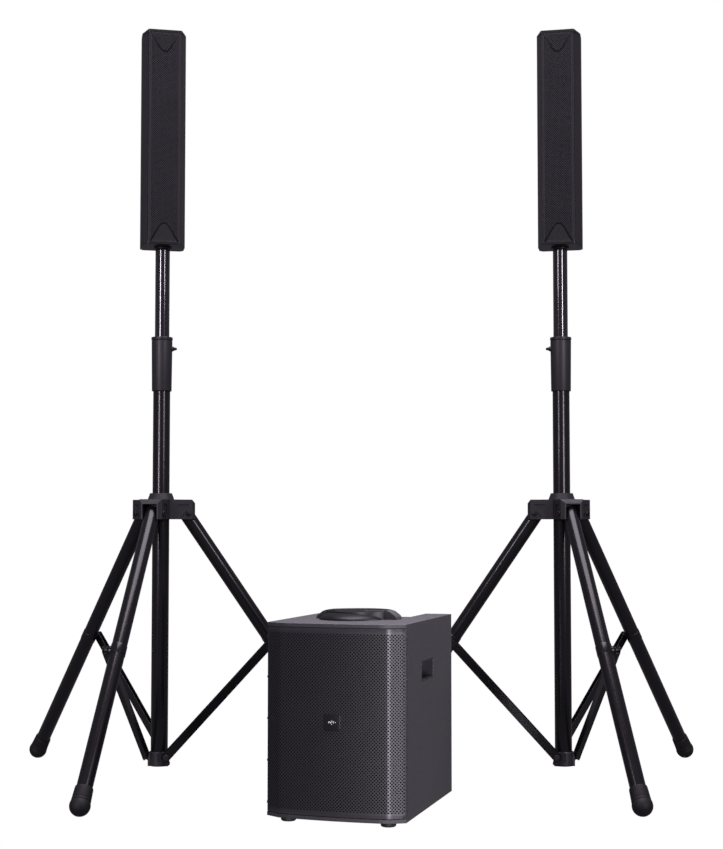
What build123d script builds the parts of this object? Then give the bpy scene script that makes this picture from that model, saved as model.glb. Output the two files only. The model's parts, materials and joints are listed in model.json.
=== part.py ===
from build123d import *
import os
from math import atan2, cos, degrees, hypot, radians, sin, sqrt

# Millimetres and degrees. Z is up, X runs to the right and the front faces -Y.
# Two tripod stands, each with a column speaker, and a powered subwoofer between them.
# The finished set is moved so that the middle of its footprint is the origin.

# Places of the three free-standing units, before that move
inner_feet_gap = 3.3     # free space between the stands' inner feet
sub_corner_x = 91        # front right edge of the side panel, from midway between the stands
sub_corner_y = -606      # the same edge, from the line through the stand axes
sub_yaw = -17
column_toe_in = 11.6

# Fits
slide_gap = 0.3          # radial, round a part that slides or turns loosely
pin_gap = 0.05           # radial, round a hinge pin
seat_gap = 0.1           # radial, round a part that is fixed in place

# Stand: main tube, mast and the clamp sleeve between them
mast_od = 35
mast_wall = 1.5
mast_room = 1.2          # radial, between the mast and the main tube
main_tube_wall = 1.8
main_tube_top = 1000
mast_low = 300
mast_travel_down = 200
mast_travel_up = 500
sleeve_low = 933.5
sleeve_top = 1065
sleeve_low_wall = 3.25
sleeve_top_wall = 4.65
sleeve_rim_height = 7
sleeve_rim_step = 0.6
sleeve_lip = 3
lock_pin_height = 1037
lock_pin_od = 5
lock_boss_od = 12
lock_boss_reach = 3      # past the sleeve
lock_knob_length = 8
lock_knob_od = 9
lock_travel = 8

# Stand: hub
hub_low = 622
hub_arm_height = 47.6
hub_cone_height = 15.4
hub_arm_beyond = 18      # past the leg pivot
hub_cheek = 10.5
hub_roof = 12
hub_barrel_wall = 9
hub_corner = 8
hub_top_bevel = 9
hub_cone_spread = 3      # the cone's foot is this much wider than the barrel, its top this much narrower
pocket_margin = 5
pocket_depth = 2
pocket_rib = 6
pocket_length = 26       # in from the leg pivot
pocket_heel = 18         # in from the arm's end
slot_side_gap = 0.75
slot_end_gap = 2
pivot_out = 41.5         # from the tube's surface to the leg pivot
pivot_pin_od = 8
bolt_head_od = 13
bolt_head_height = 4
knob_screw_od = 8
knob_boss_od = 22
knob_boss_reach = 44
knob_od = 34
knob_thick = 15
knob_neck = 3
knob_lobes = 6
knob_dent = 5

# Stand: legs, feet, braces and bottom collar
leg_azimuths = (18, 138, 258)
leg_od = 34.5
leg_wall = 1.5
leg_plug = 40
leg_over_pivot = 10
leg_reach = 501          # where the leg's axis meets the floor, from the tube's axis
foot_ball_wall = 5.25
foot_flat = 0.8
foot_length = 63
foot_cuff_wall = 2.2
foot_cuff_flare = 1.4
foot_tube_depth = 4
foot_step = 0.42         # of the ball's radius, above its middle
collar_wall = 4
collar_low = 31
collar_height = 34
collar_flange_step = 1.2
collar_flange_height = 7
collar_web = 2.1         # collar wall behind a brace
ear_stand = 3.5          # ear's face, out from the clamp band
brace_depth = 20
brace_thick = 12
brace_wall = 1.5
brace_pin_od = 8
brace_pin_radius = 10    # lower pivot, out from the tube's axis
collar_pin_rise = 22     # lower brace pivot, up from the collar's underside
brace_head_od = 14
brace_head_height = 2.5
brace_place = 0.485      # of the leg's length
brace_face_gap = 0.3
clamp_band = 1.5
clamp_length = 24

# Column speaker
column_low = 1286
column_height = 528
column_front_width = 80
column_width = 107
column_back_width = 64
column_depth = 90
column_flare_depth = 40
column_wall = 3
column_corner = 3
column_cheek_slant = 3   # the sides draw in by this much towards the back
column_back_depth = 22
column_grille_thick = 2
column_grille_inset = 1
cap_height = 8
cap_proud = 0.8
cap_edge = 2
trim_width = 3.6
trim_proud = 1.2
trim_span = 67
trim_apex = 58
trim_round = 18
socket_depth = 60
socket_wall = 2.4
socket_flange_step = 1.5
socket_flange_height = 4
socket_roof = 4
driver_count = 6
driver_od = 70
driver_hole = 60
driver_depth = 15
driver_magnet_od = 40
driver_lip = 3
driver_cone_depth = 6
driver_frame_depth = 9
driver_edge = 3          # the cone stops this far inside the hole

# Subwoofer cabinet
sub_width = 298
sub_depth = 385
sub_low = 11
sub_height = 396
sub_wall = 15
sub_lip = 8              # top and bottom plates where they cover the grille
facet_width = 32
facet_set_back = 18
bow_crown = 25
grille_skin = 1.6
grille_wrap = 9
panel_set_back = 2
grille_gap = 1
baffle_set_back = 20
baffle_thick = 15
woofer_od = 256
woofer_hole = 232
woofer_centre = 247
woofer_flange = 5
woofer_basket_depth = 95
woofer_magnet_od = 140
woofer_magnet_height = 40
basket_wall = 4
basket_rim_depth = 12
cone_neck = 32
cone_depth = 62
cone_surround = 22
cone_skin = 4
port_width = 200
port_height = 36
port_centre = 66
port_depth = 150
port_wall = 6
sub_foot_od = 32
sub_foot_side = 42
sub_foot_front = 15
sub_foot_rear = 45
badge_size = 35
badge_thick = 2
badge_corner = 4
grille_screw_count = 5
grille_screw_pitch = 85.5
grille_screw_od = 6
grille_screw_head = 1.5

# Subwoofer: top handle, side pockets, mixer panel
handle_od = 184
handle_centre = 160
handle_rim = 9
handle_crown = 20
handle_crown_od = 130
handle_well_od = 136
handle_well_depth = 40
handle_wall = 4
handle_bar_width = 34
handle_bar_thick = 14
cup_width = 94
cup_height = 36
cup_depth = 30
cup_wall = 2.5
cup_middle = 170.5       # behind the side panel's front edge
cup_centre = 302
recess_front = 258
recess_drop = 107
recess_cheek = 60
cheek_wall = 6
cheek_margin = 20        # the cheeks run on this far past the recess
panel_thick = 3
chassis_margin = 12
chassis_depth = 50
knob_x = (-50, -14, 24)
jack_x = (-62, -32, 0, 28)
switch_x = 60
inlet_x = 64
row_share = 0.17         # control rows, up and down from the panel's middle, of its length
knob_body_od = 20
knob_height = 14
knob_shaft_od = 6
knob_taper = 1.5
pointer_proud = 0.8
rocker_width = 14
rocker_length = 22
rocker_height = 6
rocker_low_height = 2.5
rocker_middle_height = 4
rocker_lift = 2.5
rocker_pin_half = 2.5
switch_frame = 3
jack_od = 25
jack_proud = 3
jack_rim = 4
inlet_width = 30
inlet_height = 24

# Worked out from the sizes above
mast_radius = mast_od / 2
main_tube_radius = mast_radius + mast_room + main_tube_wall
mast_top = column_low + socket_depth
leg_radius = leg_od / 2
foot_ball_radius = leg_radius + foot_ball_wall
hub_arm_top = hub_low + hub_arm_height
leg_end_radius = hypot(leg_radius, leg_over_pivot)
pivot_radius = main_tube_radius + pivot_out
pivot_height = hub_arm_top - hub_roof - slot_end_gap - leg_end_radius
hub_arm_reach = pivot_radius + hub_arm_beyond
leg_angle = degrees(atan2(leg_reach - pivot_radius, pivot_height))
leg_length = hypot(leg_reach - pivot_radius, pivot_height)
ball_centre = (pivot_height - foot_ball_radius + foot_flat) / cos(radians(leg_angle))
inner_foot_x = (pivot_radius + ball_centre * sin(radians(leg_angle))) * cos(radians(leg_azimuths[0]))
stand_spacing = 2 * (inner_foot_x + foot_ball_radius) + inner_feet_gap
main_tube_low = collar_low + 1
brace_pin_height = collar_low + collar_pin_rise
ear_face = max(main_tube_radius + seat_gap + collar_web, leg_radius + clamp_band + ear_stand)
brace_plane = ear_face + brace_face_gap + brace_thick / 2
brace_on_leg = brace_place * leg_length
brace_end_radius = pivot_radius + brace_on_leg * sin(radians(leg_angle))
brace_end_height = pivot_height - brace_on_leg * cos(radians(leg_angle))
brace_run = brace_end_radius - brace_pin_radius
brace_rise = brace_end_height - brace_pin_height
brace_length = hypot(brace_run, brace_rise)
brace_angle = degrees(atan2(brace_run, brace_rise))
brace_folded_run = pivot_radius - brace_pin_radius
brace_folded_rise = sqrt(brace_length**2 - brace_folded_run**2)
brace_folded_angle = degrees(atan2(brace_folded_run, brace_folded_rise))
hub_travel = brace_pin_height + brace_folded_rise + brace_on_leg - pivot_height
column_top = column_low + column_height
column_front = -column_depth / 2
sub_top = sub_low + sub_height
slot_half = leg_radius + slot_side_gap
hub_half = slot_half + hub_cheek
slot_inner = pivot_radius - leg_end_radius - slot_end_gap
knob_azimuth = (leg_azimuths[0] + leg_azimuths[1]) / 2
knob_screw_height = hub_low + hub_arm_height / 2


def upright(radius, low, high):
    rod = Cylinder(radius, high - low, align=(Align.CENTER, Align.CENTER, Align.MIN))
    return Pos(0, 0, low) * rod


def outward(radius, near, far, height=0):
    # A round bar along +X.
    return Pos(near, 0, height) * Rot(0, 90, 0) * upright(radius, 0, far - near)


def across(radius, near, far):
    # A round bar along +Y.
    return Pos(0, near, 0) * Rot(-90, 0, 0) * upright(radius, 0, far - near)


def block(x_low, x_high, y_low, y_high, z_low, z_high):
    size = (x_high - x_low, y_high - y_low, z_high - z_low)
    return Pos(x_low, y_low, z_low) * Box(*size, align=(Align.MIN, Align.MIN, Align.MIN))


def turned(points):
    # A solid of revolution about Z from a closed outline in radius and height.
    return revolve(make_face(Plane.XZ * Polyline(*points, close=True)), Axis.Z)


def at_azimuths(shape):
    return [Rot(0, 0, azimuth) * shape for azimuth in leg_azimuths]


# Stand pieces, with the tube's axis at the origin


def make_main_tube():
    wall = upright(main_tube_radius, main_tube_low, main_tube_top)
    return wall - upright(main_tube_radius - main_tube_wall, main_tube_low, main_tube_top)


def make_mast():
    return upright(mast_radius, mast_low, mast_top) - upright(mast_radius - mast_wall, mast_low, mast_top)


def sleeve_radius(height):
    share = (height - sleeve_low) / (sleeve_top - sleeve_low)
    wall = sleeve_low_wall + share * (sleeve_top_wall - sleeve_low_wall)
    return main_tube_radius + seat_gap + wall


def make_sleeve():
    rim_low = sleeve_top - sleeve_rim_height
    rim_radius = sleeve_radius(sleeve_top) + sleeve_rim_step
    bore = main_tube_radius + seat_gap
    lip_radius = mast_radius + 2 * slide_gap
    body = turned([
        (bore, sleeve_low),
        (sleeve_radius(sleeve_low), sleeve_low),
        (sleeve_radius(rim_low), rim_low),
        (rim_radius, rim_low),
        (rim_radius, sleeve_top),
        (lip_radius, sleeve_top),
        (lip_radius, sleeve_top - sleeve_lip),
        (bore, sleeve_top - sleeve_lip),
    ])
    boss = outward(lock_boss_od / 2, bore + 1, lock_boss_end(), lock_pin_height)
    return body + boss - outward(lock_pin_od / 2 + slide_gap, 0, lock_boss_end(), lock_pin_height)


def lock_boss_end():
    return sleeve_radius(lock_pin_height) + lock_boss_reach


def make_bush():
    high = sleeve_top - sleeve_lip
    ring = upright(main_tube_radius, main_tube_top, high) - upright(mast_radius + slide_gap, 0, high)
    return ring - outward(lock_pin_od / 2 + slide_gap, 0, lock_boss_end(), lock_pin_height)


def make_lock_pin():
    start = lock_boss_end() + slide_gap
    pin = outward(lock_pin_od / 2, mast_radius + slide_gap, start + 1, lock_pin_height)
    tip = lock_pin_od / 2
    knob = Cone(lock_knob_od / 2, tip, lock_knob_length, align=(Align.CENTER, Align.CENTER, Align.MIN))
    return pin + Pos(start, 0, lock_pin_height) * Rot(0, 90, 0) * knob


def hub_arm():
    low = Pos(0, 0, hub_low)
    outline = Rectangle(hub_arm_reach, 2 * hub_half, align=(Align.MIN, Align.CENTER))
    far_corners = outline.vertices().group_by(Axis.X)[-1]
    arm = low * extrude(chamfer(far_corners, hub_corner), hub_arm_height)
    top_end = arm.faces().sort_by(Axis.Z)[-1].edges().sort_by(Axis.X)[-1]
    return chamfer(top_end, hub_top_bevel)


def cheek_pockets():
    # Two shallow pockets on each side of an arm, with a slanting rib left between them.
    near = pivot_radius - pocket_length
    far = hub_arm_reach - hub_corner - pocket_depth
    low = hub_low + pocket_margin
    high = hub_arm_top - hub_top_bevel - pocket_margin / 2
    heel = far - pocket_heel
    upper = [(near, low + pocket_rib), (near, high), (far - pocket_rib, high)]
    lower = [
        (near + pocket_rib, low),
        (heel, low),
        (heel, pivot_height - pocket_depth),
        (far - pocket_heel / 2, high - 2 * pocket_rib),
    ]
    pockets = []
    for corners in (upper, lower):
        face = make_face(Plane.XZ * Polyline(*corners, close=True))
        for side in (-1, 1):
            start = side * hub_half
            pockets.append(Pos(0, start, 0) * extrude(face, -side * pocket_depth, dir=(0, 1, 0)))
    return pockets


def make_hub():
    cone_low = hub_arm_top - 1
    barrel_radius = main_tube_radius + hub_barrel_wall
    cone = Pos(0, 0, cone_low) * Cone(
        barrel_radius + hub_cone_spread,
        barrel_radius - hub_cone_spread,
        hub_cone_height + 1,
        align=(Align.CENTER, Align.CENTER, Align.MIN),
    )
    body = upright(barrel_radius + hub_cone_spread, hub_low, hub_arm_top) + cone
    for arm in at_azimuths(hub_arm()):
        body += arm
    roof_low = hub_arm_top - hub_roof
    slot = block(slot_inner, hub_arm_reach + 1, -slot_half, slot_half, hub_low - 1, roof_low)
    pivot = Pos(pivot_radius, 0, pivot_height)
    bore = pivot * across(pivot_pin_od / 2 + pin_gap, -hub_half - 1, hub_half + 1)
    for cutter in [slot, bore] + cheek_pockets():
        for placed in at_azimuths(cutter):
            body -= placed
    reach = Rot(0, 0, knob_azimuth)
    body += reach * outward(knob_boss_od / 2, main_tube_radius + 3, knob_boss_reach, knob_screw_height)
    body -= upright(main_tube_radius + slide_gap, hub_low - 1, hub_arm_top + hub_cone_height + 1)
    body -= reach * outward(knob_screw_od / 2 + slide_gap, 0, knob_boss_reach + 1, knob_screw_height)
    return body


def hub_bolt():
    centre = Pos(pivot_radius, 0, pivot_height)
    shank = across(pivot_pin_od / 2, -hub_half, hub_half)
    head = across(bolt_head_od / 2, hub_half, hub_half + bolt_head_height)
    head = fillet(head.edges().sort_by(Axis.Y)[-1], bolt_head_height * 0.6)
    nut = extrude(RegularPolygon(bolt_head_od / 2, 6), bolt_head_height)
    return centre * (shank + head + Pos(0, -hub_half, 0) * Rot(90, 0, 0) * nut)


def make_hub_knob():
    tip = main_tube_radius + slide_gap
    start = knob_boss_reach + 1
    screw = outward(knob_screw_od / 2, tip, start + 2, knob_screw_height)
    neck = outward(knob_boss_od / 2 - 2, start, start + knob_neck, knob_screw_height)
    grip = outward(knob_od / 2, start + knob_neck, start + knob_neck + knob_thick, knob_screw_height)
    middle = start + knob_neck + knob_thick / 2
    for number in range(knob_lobes):
        turn = Pos(middle, 0, knob_screw_height) * Rot(number * 360 / knob_lobes, 0, 0)
        dent = outward(knob_dent, -knob_thick, knob_thick)
        grip -= turn * Pos(0, 0, knob_od / 2 + 2) * dent
    return Rot(0, 0, knob_azimuth) * (screw + neck + grip)


def on_leg(shape):
    # From the leg's own frame, hanging down from its pivot, to its spread place.
    return Pos(pivot_radius, 0, pivot_height) * Rot(0, -leg_angle, 0) * shape


def make_leg():
    end = ball_centre + foot_tube_depth
    tube = upright(leg_radius, -end, leg_over_pivot)
    tube -= upright(leg_radius - leg_wall, -end, -leg_plug)
    tube -= across(pivot_pin_od / 2 + pin_gap, -leg_od, leg_od)
    ear = across(brace_depth / 2, -ear_face, -leg_radius + 4)
    band = upright(leg_radius + clamp_band, -clamp_length / 2, clamp_length / 2)
    band -= upright(leg_radius - leg_wall / 2, -clamp_length / 2, clamp_length / 2)
    tube += Pos(0, 0, -brace_on_leg) * band
    tube += Pos(0, 0, -brace_on_leg) * ear
    return on_leg(tube)


def make_foot():
    bore = leg_radius + seat_gap
    cuff = bore + foot_cuff_wall
    high = foot_length - foot_ball_radius
    step = foot_ball_radius * foot_step
    flare = cuff + foot_cuff_flare
    cuff_body = turned([(0, 0), (flare, 0), (flare, step), (cuff, high), (0, high)])
    ball = Sphere(foot_ball_radius) - block(-50, 50, -50, 50, step, 50)
    foot = cuff_body + ball - upright(bore, -foot_tube_depth, high + 1)
    placed = on_leg(Pos(0, 0, -ball_centre) * foot)
    floor = block(leg_reach - 200, leg_reach + 200, -100, 100, -50, 0)
    return placed - floor


def make_brace():
    # Lower pivot at the origin, running up along +Z, open along its underside.
    half = brace_depth / 2
    bar = block(-half, half, -brace_thick / 2, brace_thick / 2, 0, brace_length)
    for height in (0, brace_length):
        bar += Pos(0, 0, height) * across(half, -brace_thick / 2, brace_thick / 2)
    inner = brace_thick / 2 - brace_wall
    bar -= block(-half, half - brace_wall, -inner, inner, -half, brace_length + half)
    bar -= across(brace_pin_od / 2 + pin_gap, -brace_thick, brace_thick)
    rivet = across(brace_pin_od / 2, -brace_thick / 2, brace_thick / 2)
    head = across(brace_head_od / 2, -brace_thick / 2 - brace_head_height, -brace_thick / 2)
    head = fillet(head.edges().sort_by(Axis.Y)[0], brace_head_height * 0.6)
    bar += Pos(0, 0, brace_length) * (rivet + head)
    place = Pos(brace_pin_radius, -brace_plane, brace_pin_height)
    return place * Rot(0, brace_angle, 0) * bar


def make_bottom_collar():
    bore = main_tube_radius + seat_gap
    outer = bore + collar_wall
    flange = outer + collar_flange_step
    high = collar_low + collar_height
    body = turned([
        (0, collar_low),
        (flange - 2, collar_low),
        (flange, collar_low + 2),
        (flange, collar_low + collar_flange_height),
        (outer, collar_low + collar_flange_height),
        (outer, high - 2),
        (outer - 2, high),
        (0, high),
    ])
    flat_face = -ear_face
    flat_low = brace_pin_height - brace_depth / 2 - 2
    relief = block(-flange, flange, flat_face - 20, flat_face, flat_low, high + 1)
    head_face = -(brace_plane + brace_thick / 2 + brace_face_gap)
    stud = across(brace_pin_od / 2, head_face, -bore + 1)
    head = across(brace_head_od / 2, head_face - brace_head_height, head_face)
    head = fillet(head.edges().sort_by(Axis.Y)[0], brace_head_height * 0.6)
    place = Pos(brace_pin_radius, 0, brace_pin_height)
    lug = block(-5, brace_pin_radius + 8, flat_face, -2, collar_low, high - 2)
    for placed in at_azimuths(relief):
        body -= placed
    for placed in at_azimuths(lug):
        body += placed
    for placed in at_azimuths(place * (stud + head)):
        body += placed
    return body - upright(bore, main_tube_low, high + 60)


# Column speaker, on the same axis


def column_plan(front, grow=0):
    corners = [
        (-column_front_width / 2, front),
        (column_front_width / 2, front),
        (column_width / 2, column_front + column_flare_depth),
        (column_width / 2 - column_cheek_slant, column_depth / 2 - column_back_depth),
        (column_back_width / 2, column_depth / 2),
    ]
    corners += [(-x, y) for x, y in reversed(corners[2:])]
    outline = make_face(Polyline(*corners, close=True))
    outline = fillet(outline.vertices(), column_corner)
    if grow:
        outline = offset(outline, grow)
    return outline


def driver_heights():
    low = column_low + cap_height
    high = column_top - cap_height
    pitch = (high - low) / driver_count
    return [low + pitch * (number + 0.5) for number in range(driver_count)]


def housing_front():
    return column_front + column_grille_thick


def make_column_housing():
    low = column_low + cap_height
    high = column_top - cap_height
    body = Pos(0, 0, low) * extrude(column_plan(housing_front()), high - low)
    body -= Pos(0, 0, low) * extrude(column_plan(housing_front(), -column_wall), high - low)
    for height in driver_heights():
        hole = across(driver_hole / 2, housing_front() - 1, housing_front() + column_wall + 1)
        body -= Pos(0, 0, height) * hole
    return body


def make_column_grille():
    half = column_front_width / 2 - column_grille_inset
    low = column_low + cap_height
    high = column_top - cap_height
    plate = block(-half, half, column_front, housing_front(), low, high)
    long_edges = plate.edges().filter_by(Axis.Z).group_by(Axis.Y)[0]
    return fillet(long_edges, column_grille_thick * 0.6)


def end_trim(upward):
    half = trim_span / 2
    low = column_low + cap_height
    high = column_top - cap_height
    start = low if upward else high
    tip = start + trim_apex if upward else start - trim_apex
    path = FilletPolyline((-half, start), (0, tip), (half, start), radius=trim_round)
    strip = extrude(Plane.XZ * trace(path, trim_width), trim_proud)
    inside = block(-half * 2, half * 2, -trim_proud * 2, 1, low, high)
    return Pos(0, column_front, 0) * (strip & inside)


def make_column_end_caps():
    plan = column_plan(column_front - cap_proud)
    slab = extrude(plan, cap_height)
    top = Pos(0, 0, column_top - cap_height) * slab
    top = chamfer(top.faces().sort_by(Axis.Z)[-1].edges(), cap_edge)
    bottom = Pos(0, 0, column_low) * slab
    bottom = chamfer(bottom.faces().sort_by(Axis.Z)[0].edges(), cap_edge)
    bottom -= upright(socket_outer() + seat_gap, column_low - 1, column_low + cap_height + 1)
    return Compound([top.solid(), bottom.solid(), end_trim(False).solid(), end_trim(True).solid()])


def socket_outer():
    return mast_radius + pin_gap + socket_wall


def make_column_drivers():
    back = housing_front() + column_wall
    cone_radius = driver_hole / 2 - driver_edge
    profile = [
        (0, driver_cone_depth),
        (cone_radius, 0),
        (driver_od / 2 - 1, 0),
        (driver_od / 2 - 1, driver_lip),
        (cone_radius, driver_lip),
        (driver_magnet_od / 2, driver_frame_depth),
        (driver_magnet_od / 2, driver_depth),
        (0, driver_depth),
    ]
    drive = Pos(0, back, 0) * Rot(-90, 0, 0) * turned(profile)
    return Compound([(Pos(0, 0, height) * drive).solid() for height in driver_heights()])


def make_column_socket():
    bore = mast_radius + pin_gap
    outer = socket_outer()
    flange = outer + socket_flange_step
    roof_low = mast_top + slide_gap
    flange_low = column_low - socket_flange_height
    return turned([
        (bore, flange_low),
        (flange, flange_low),
        (flange, column_low),
        (outer, column_low),
        (outer, roof_low + socket_roof),
        (0, roof_low + socket_roof),
        (0, roof_low),
        (bore, roof_low),
    ])


# Subwoofer, with the middle of its side panels' front edge at the origin


def bow_plan(back):
    half = sub_width / 2
    fold = half - facet_width
    lines = [
        Line((-half, back), (-half, 0)),
        Line((-half, 0), (-fold, -facet_set_back)),
        ThreePointArc((-fold, -facet_set_back), (0, -bow_crown), (fold, -facet_set_back)),
        Line((fold, -facet_set_back), (half, 0)),
        Line((half, 0), (half, back)),
        Line((half, back), (-half, back)),
    ]
    return make_face(Curve() + lines)


def panel_place():
    # On the slanted panel, X to the right seen from the front, Z out of the panel.
    run = sub_depth - recess_front
    tilt = degrees(atan2(recess_drop, run))
    middle_y = recess_front + run / 2
    middle_z = sub_top - recess_drop / 2
    return Pos(0, middle_y, middle_z) * Rot(-tilt, 0, 0)


def panel_length():
    return hypot(sub_depth - recess_front, recess_drop)


def recess_half():
    return sub_width / 2 - recess_cheek


def make_sub_cabinet():
    half = sub_width / 2
    inner = half - sub_wall
    body = block(-half, half, panel_set_back, sub_depth, sub_low, sub_top)
    body -= block(-inner, inner, -1, sub_depth - sub_wall, sub_low + sub_wall, sub_top - sub_wall)
    for low in (sub_low, sub_top - sub_lip):
        body += Pos(0, 0, low) * extrude(bow_plan(panel_set_back), sub_lip)
    wrap_low = sub_low + sub_lip
    wrap_high = sub_top - sub_lip
    seat = grille_skin + seat_gap
    for side in (-1, 1):
        edge = sorted((side * half, side * (half - seat)))
        body -= block(edge[0], edge[1], 0, grille_wrap + seat_gap, wrap_low, wrap_high)
        cheek = sorted((side * recess_half(), side * (recess_half() + cheek_wall)))
        cheek_front = recess_front - cheek_margin
        cheek_low = sub_top - recess_drop - 2 * cheek_margin
        body += block(cheek[0], cheek[1], cheek_front, sub_depth - 1, cheek_low, sub_top - 1)
        body -= cup_space(side, cup_wall + seat_gap)
    slab = block(-recess_half(), recess_half(), -200, 200, -panel_thick, 200)
    body -= panel_place() * slab
    well_hole = upright(handle_well_od / 2 + seat_gap, sub_top - sub_wall - 1, sub_top + 1)
    body -= Pos(0, handle_centre, 0) * well_hole
    return body


def cup_space(side, grow):
    x_near = sub_width / 2 + 1
    x_far = sub_width / 2 - cup_depth - grow
    ends = sorted((side * x_near, side * x_far))
    half_width = cup_width / 2 + grow
    half_height = cup_height / 2 + grow
    return block(
        ends[0],
        ends[1],
        cup_middle - half_width,
        cup_middle + half_width,
        cup_centre - half_height,
        cup_centre + half_height,
    )


def make_side_cups():
    cups = []
    half = sub_width / 2
    for side in (-1, 1):
        shell = cup_space(side, cup_wall) - cup_space(side, 0)
        keep = block(-half, half, 0, sub_depth, sub_low, sub_top)
        cups.append((shell & keep).solid())
    return Compound(cups)


def make_sub_baffle():
    inner = sub_width / 2 - sub_wall
    low = sub_low + sub_wall
    high = sub_top - sub_wall
    board = block(-inner, inner, baffle_set_back, baffle_set_back + baffle_thick, low, high)
    back = baffle_set_back + baffle_thick
    board -= Pos(0, 0, woofer_centre) * across(woofer_hole / 2, baffle_set_back - 1, back + 1)
    port_low = port_centre - port_height / 2
    port_high = port_centre + port_height / 2
    duct_back = baffle_set_back + port_depth
    half = port_width / 2
    outer = half + port_wall
    board += block(-outer, outer, back - 1, duct_back, port_low - port_wall, port_high + port_wall)
    board -= block(-half, half, baffle_set_back - 1, duct_back + 1, port_low, port_high)
    return board


def make_woofer_basket():
    # Profile in radius and depth, turned to face the front.
    rim = woofer_od / 2
    throat = woofer_hole / 2 - 1
    magnet = woofer_magnet_od / 2
    back = woofer_basket_depth
    basket = turned([
        (rim, 0),
        (rim, woofer_flange),
        (throat, woofer_flange),
        (throat, woofer_flange + basket_rim_depth),
        (magnet, back),
        (magnet, back + woofer_magnet_height),
        (0, back + woofer_magnet_height),
        (0, back - basket_wall),
        (magnet - 3 * basket_wall, back - basket_wall),
        (throat - basket_wall, woofer_flange + 2 * basket_wall),
        (throat - basket_wall, 0),
    ])
    return Pos(0, baffle_set_back - woofer_flange, woofer_centre) * Rot(-90, 0, 0) * basket


def make_woofer_cone():
    edge = woofer_hole / 2 - 1 - basket_wall - slide_gap
    inner = edge - cone_surround
    cap_rise = 3 * cone_skin
    cone = turned([
        (edge, 1),
        (edge, 3),
        (inner, 1 + cone_skin),
        (cone_neck, cone_depth),
        (0, cone_depth - cap_rise),
        (0, cone_depth - cap_rise - cone_skin),
        (cone_neck, cone_depth - cone_skin),
        (inner, 1),
        (inner + cone_surround / 2, 1 - cone_skin),
    ])
    return Pos(0, baffle_set_back - woofer_flange, woofer_centre) * Rot(-90, 0, 0) * cone


def make_sub_grille():
    low = sub_low + sub_lip + grille_gap
    high = sub_top - sub_lip - grille_gap
    outer = bow_plan(grille_wrap)
    inner = offset(outer, -grille_skin, kind=Kind.INTERSECTION)
    half = sub_width / 2 - grille_skin
    inner += Pos(0, grille_wrap) * Rectangle(2 * half, 2 * grille_skin + 1)
    sheet = Pos(0, 0, low) * extrude(outer - inner, high - low)
    middle = sub_low + sub_height / 2
    side_length = badge_size / 2
    badge_low = middle - side_length
    badge_high = middle + side_length
    front = -bow_crown
    plate = block(-side_length, side_length, front - badge_thick, front + 1, badge_low, badge_high)
    plate = fillet(plate.edges().filter_by(Axis.Y), badge_corner)
    plate -= Pos(0, 0, low) * extrude(outer, high - low)
    screws = []
    for side in (-1, 1):
        for number in range(grille_screw_count):
            height = middle + (number - (grille_screw_count - 1) / 2) * grille_screw_pitch
            head = outward(grille_screw_od / 2, 0, grille_screw_head)
            place = Pos(side * sub_width / 2, grille_wrap / 2, height)
            screws.append((place * Rot(0, 0, 0 if side > 0 else 180) * head).solid())
    return Compound([sheet.solid(), plate.solid()] + screws)


def make_sub_feet():
    feet = []
    half = sub_width / 2 - sub_foot_side
    for x in (-half, half):
        for y in (sub_foot_front, sub_depth - sub_foot_rear):
            foot = upright(sub_foot_od / 2, 0, sub_low)
            foot = chamfer(foot.edges().sort_by(Axis.Z)[0], 2)
            feet.append((Pos(x, y, 0) * foot).solid())
    return Compound(feet)


def make_top_handle():
    rim = handle_od / 2
    crown = handle_crown_od / 2
    well = handle_well_od / 2
    low = sub_top - handle_well_depth
    dome = turned([
        (0, sub_top),
        (rim, sub_top),
        (rim, sub_top + handle_rim - 2),
        (rim - 3, sub_top + handle_rim),
        (crown, sub_top + handle_crown),
        (0, sub_top + handle_crown),
    ])
    body = dome + upright(well, low, sub_top)
    bar_low = sub_top + handle_crown - handle_bar_thick
    space = upright(well - handle_wall, low + handle_wall, sub_top + handle_crown + 1)
    bar_half = handle_bar_width / 2
    bar = block(-well, well, -bar_half, bar_half, bar_low, sub_top + handle_crown + 2)
    mouth = block(-handle_mouth(), handle_mouth(), -well, well, sub_top - 2, sub_top + handle_crown + 2)
    hollow = space & (mouth + upright(well, low, sub_top - 2))
    hollow -= bar
    return Pos(0, handle_centre, 0) * (body - hollow)


def handle_mouth():
    return handle_crown_od / 2 - 12


def make_mixer_panel():
    half_x = recess_half() - seat_gap
    half_y = panel_length() / 2
    plate = block(-half_x, half_x, -half_y, half_y, -panel_thick, 0)
    for x, y in knob_spots() + [switch_spot()]:
        plate -= Pos(x, y, 0) * upright(knob_shaft_od / 2 + 1, -panel_thick - 1, 1)
    keep = block(-half_x, half_x, recess_front + 0.5, sub_depth, sub_top - recess_drop, sub_top)
    box_x = half_x - chassis_margin
    box_y = half_y - chassis_margin - sub_wall
    chassis = block(-box_x, box_x, -box_y, box_y, -panel_thick - chassis_depth, -panel_thick)
    box_wall = 2
    chassis -= block(
        -box_x + box_wall,
        box_x - box_wall,
        -box_y + box_wall,
        box_y - box_wall,
        -panel_thick - chassis_depth + box_wall,
        -panel_thick,
    )
    plate = (panel_place() * plate) & keep
    return Compound([plate.solid(), (panel_place() * chassis).solid()])


def control_row():
    return panel_length() * row_share


def knob_spots():
    return [(x, control_row()) for x in knob_x]


def switch_spot():
    return (switch_x, control_row())


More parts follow.
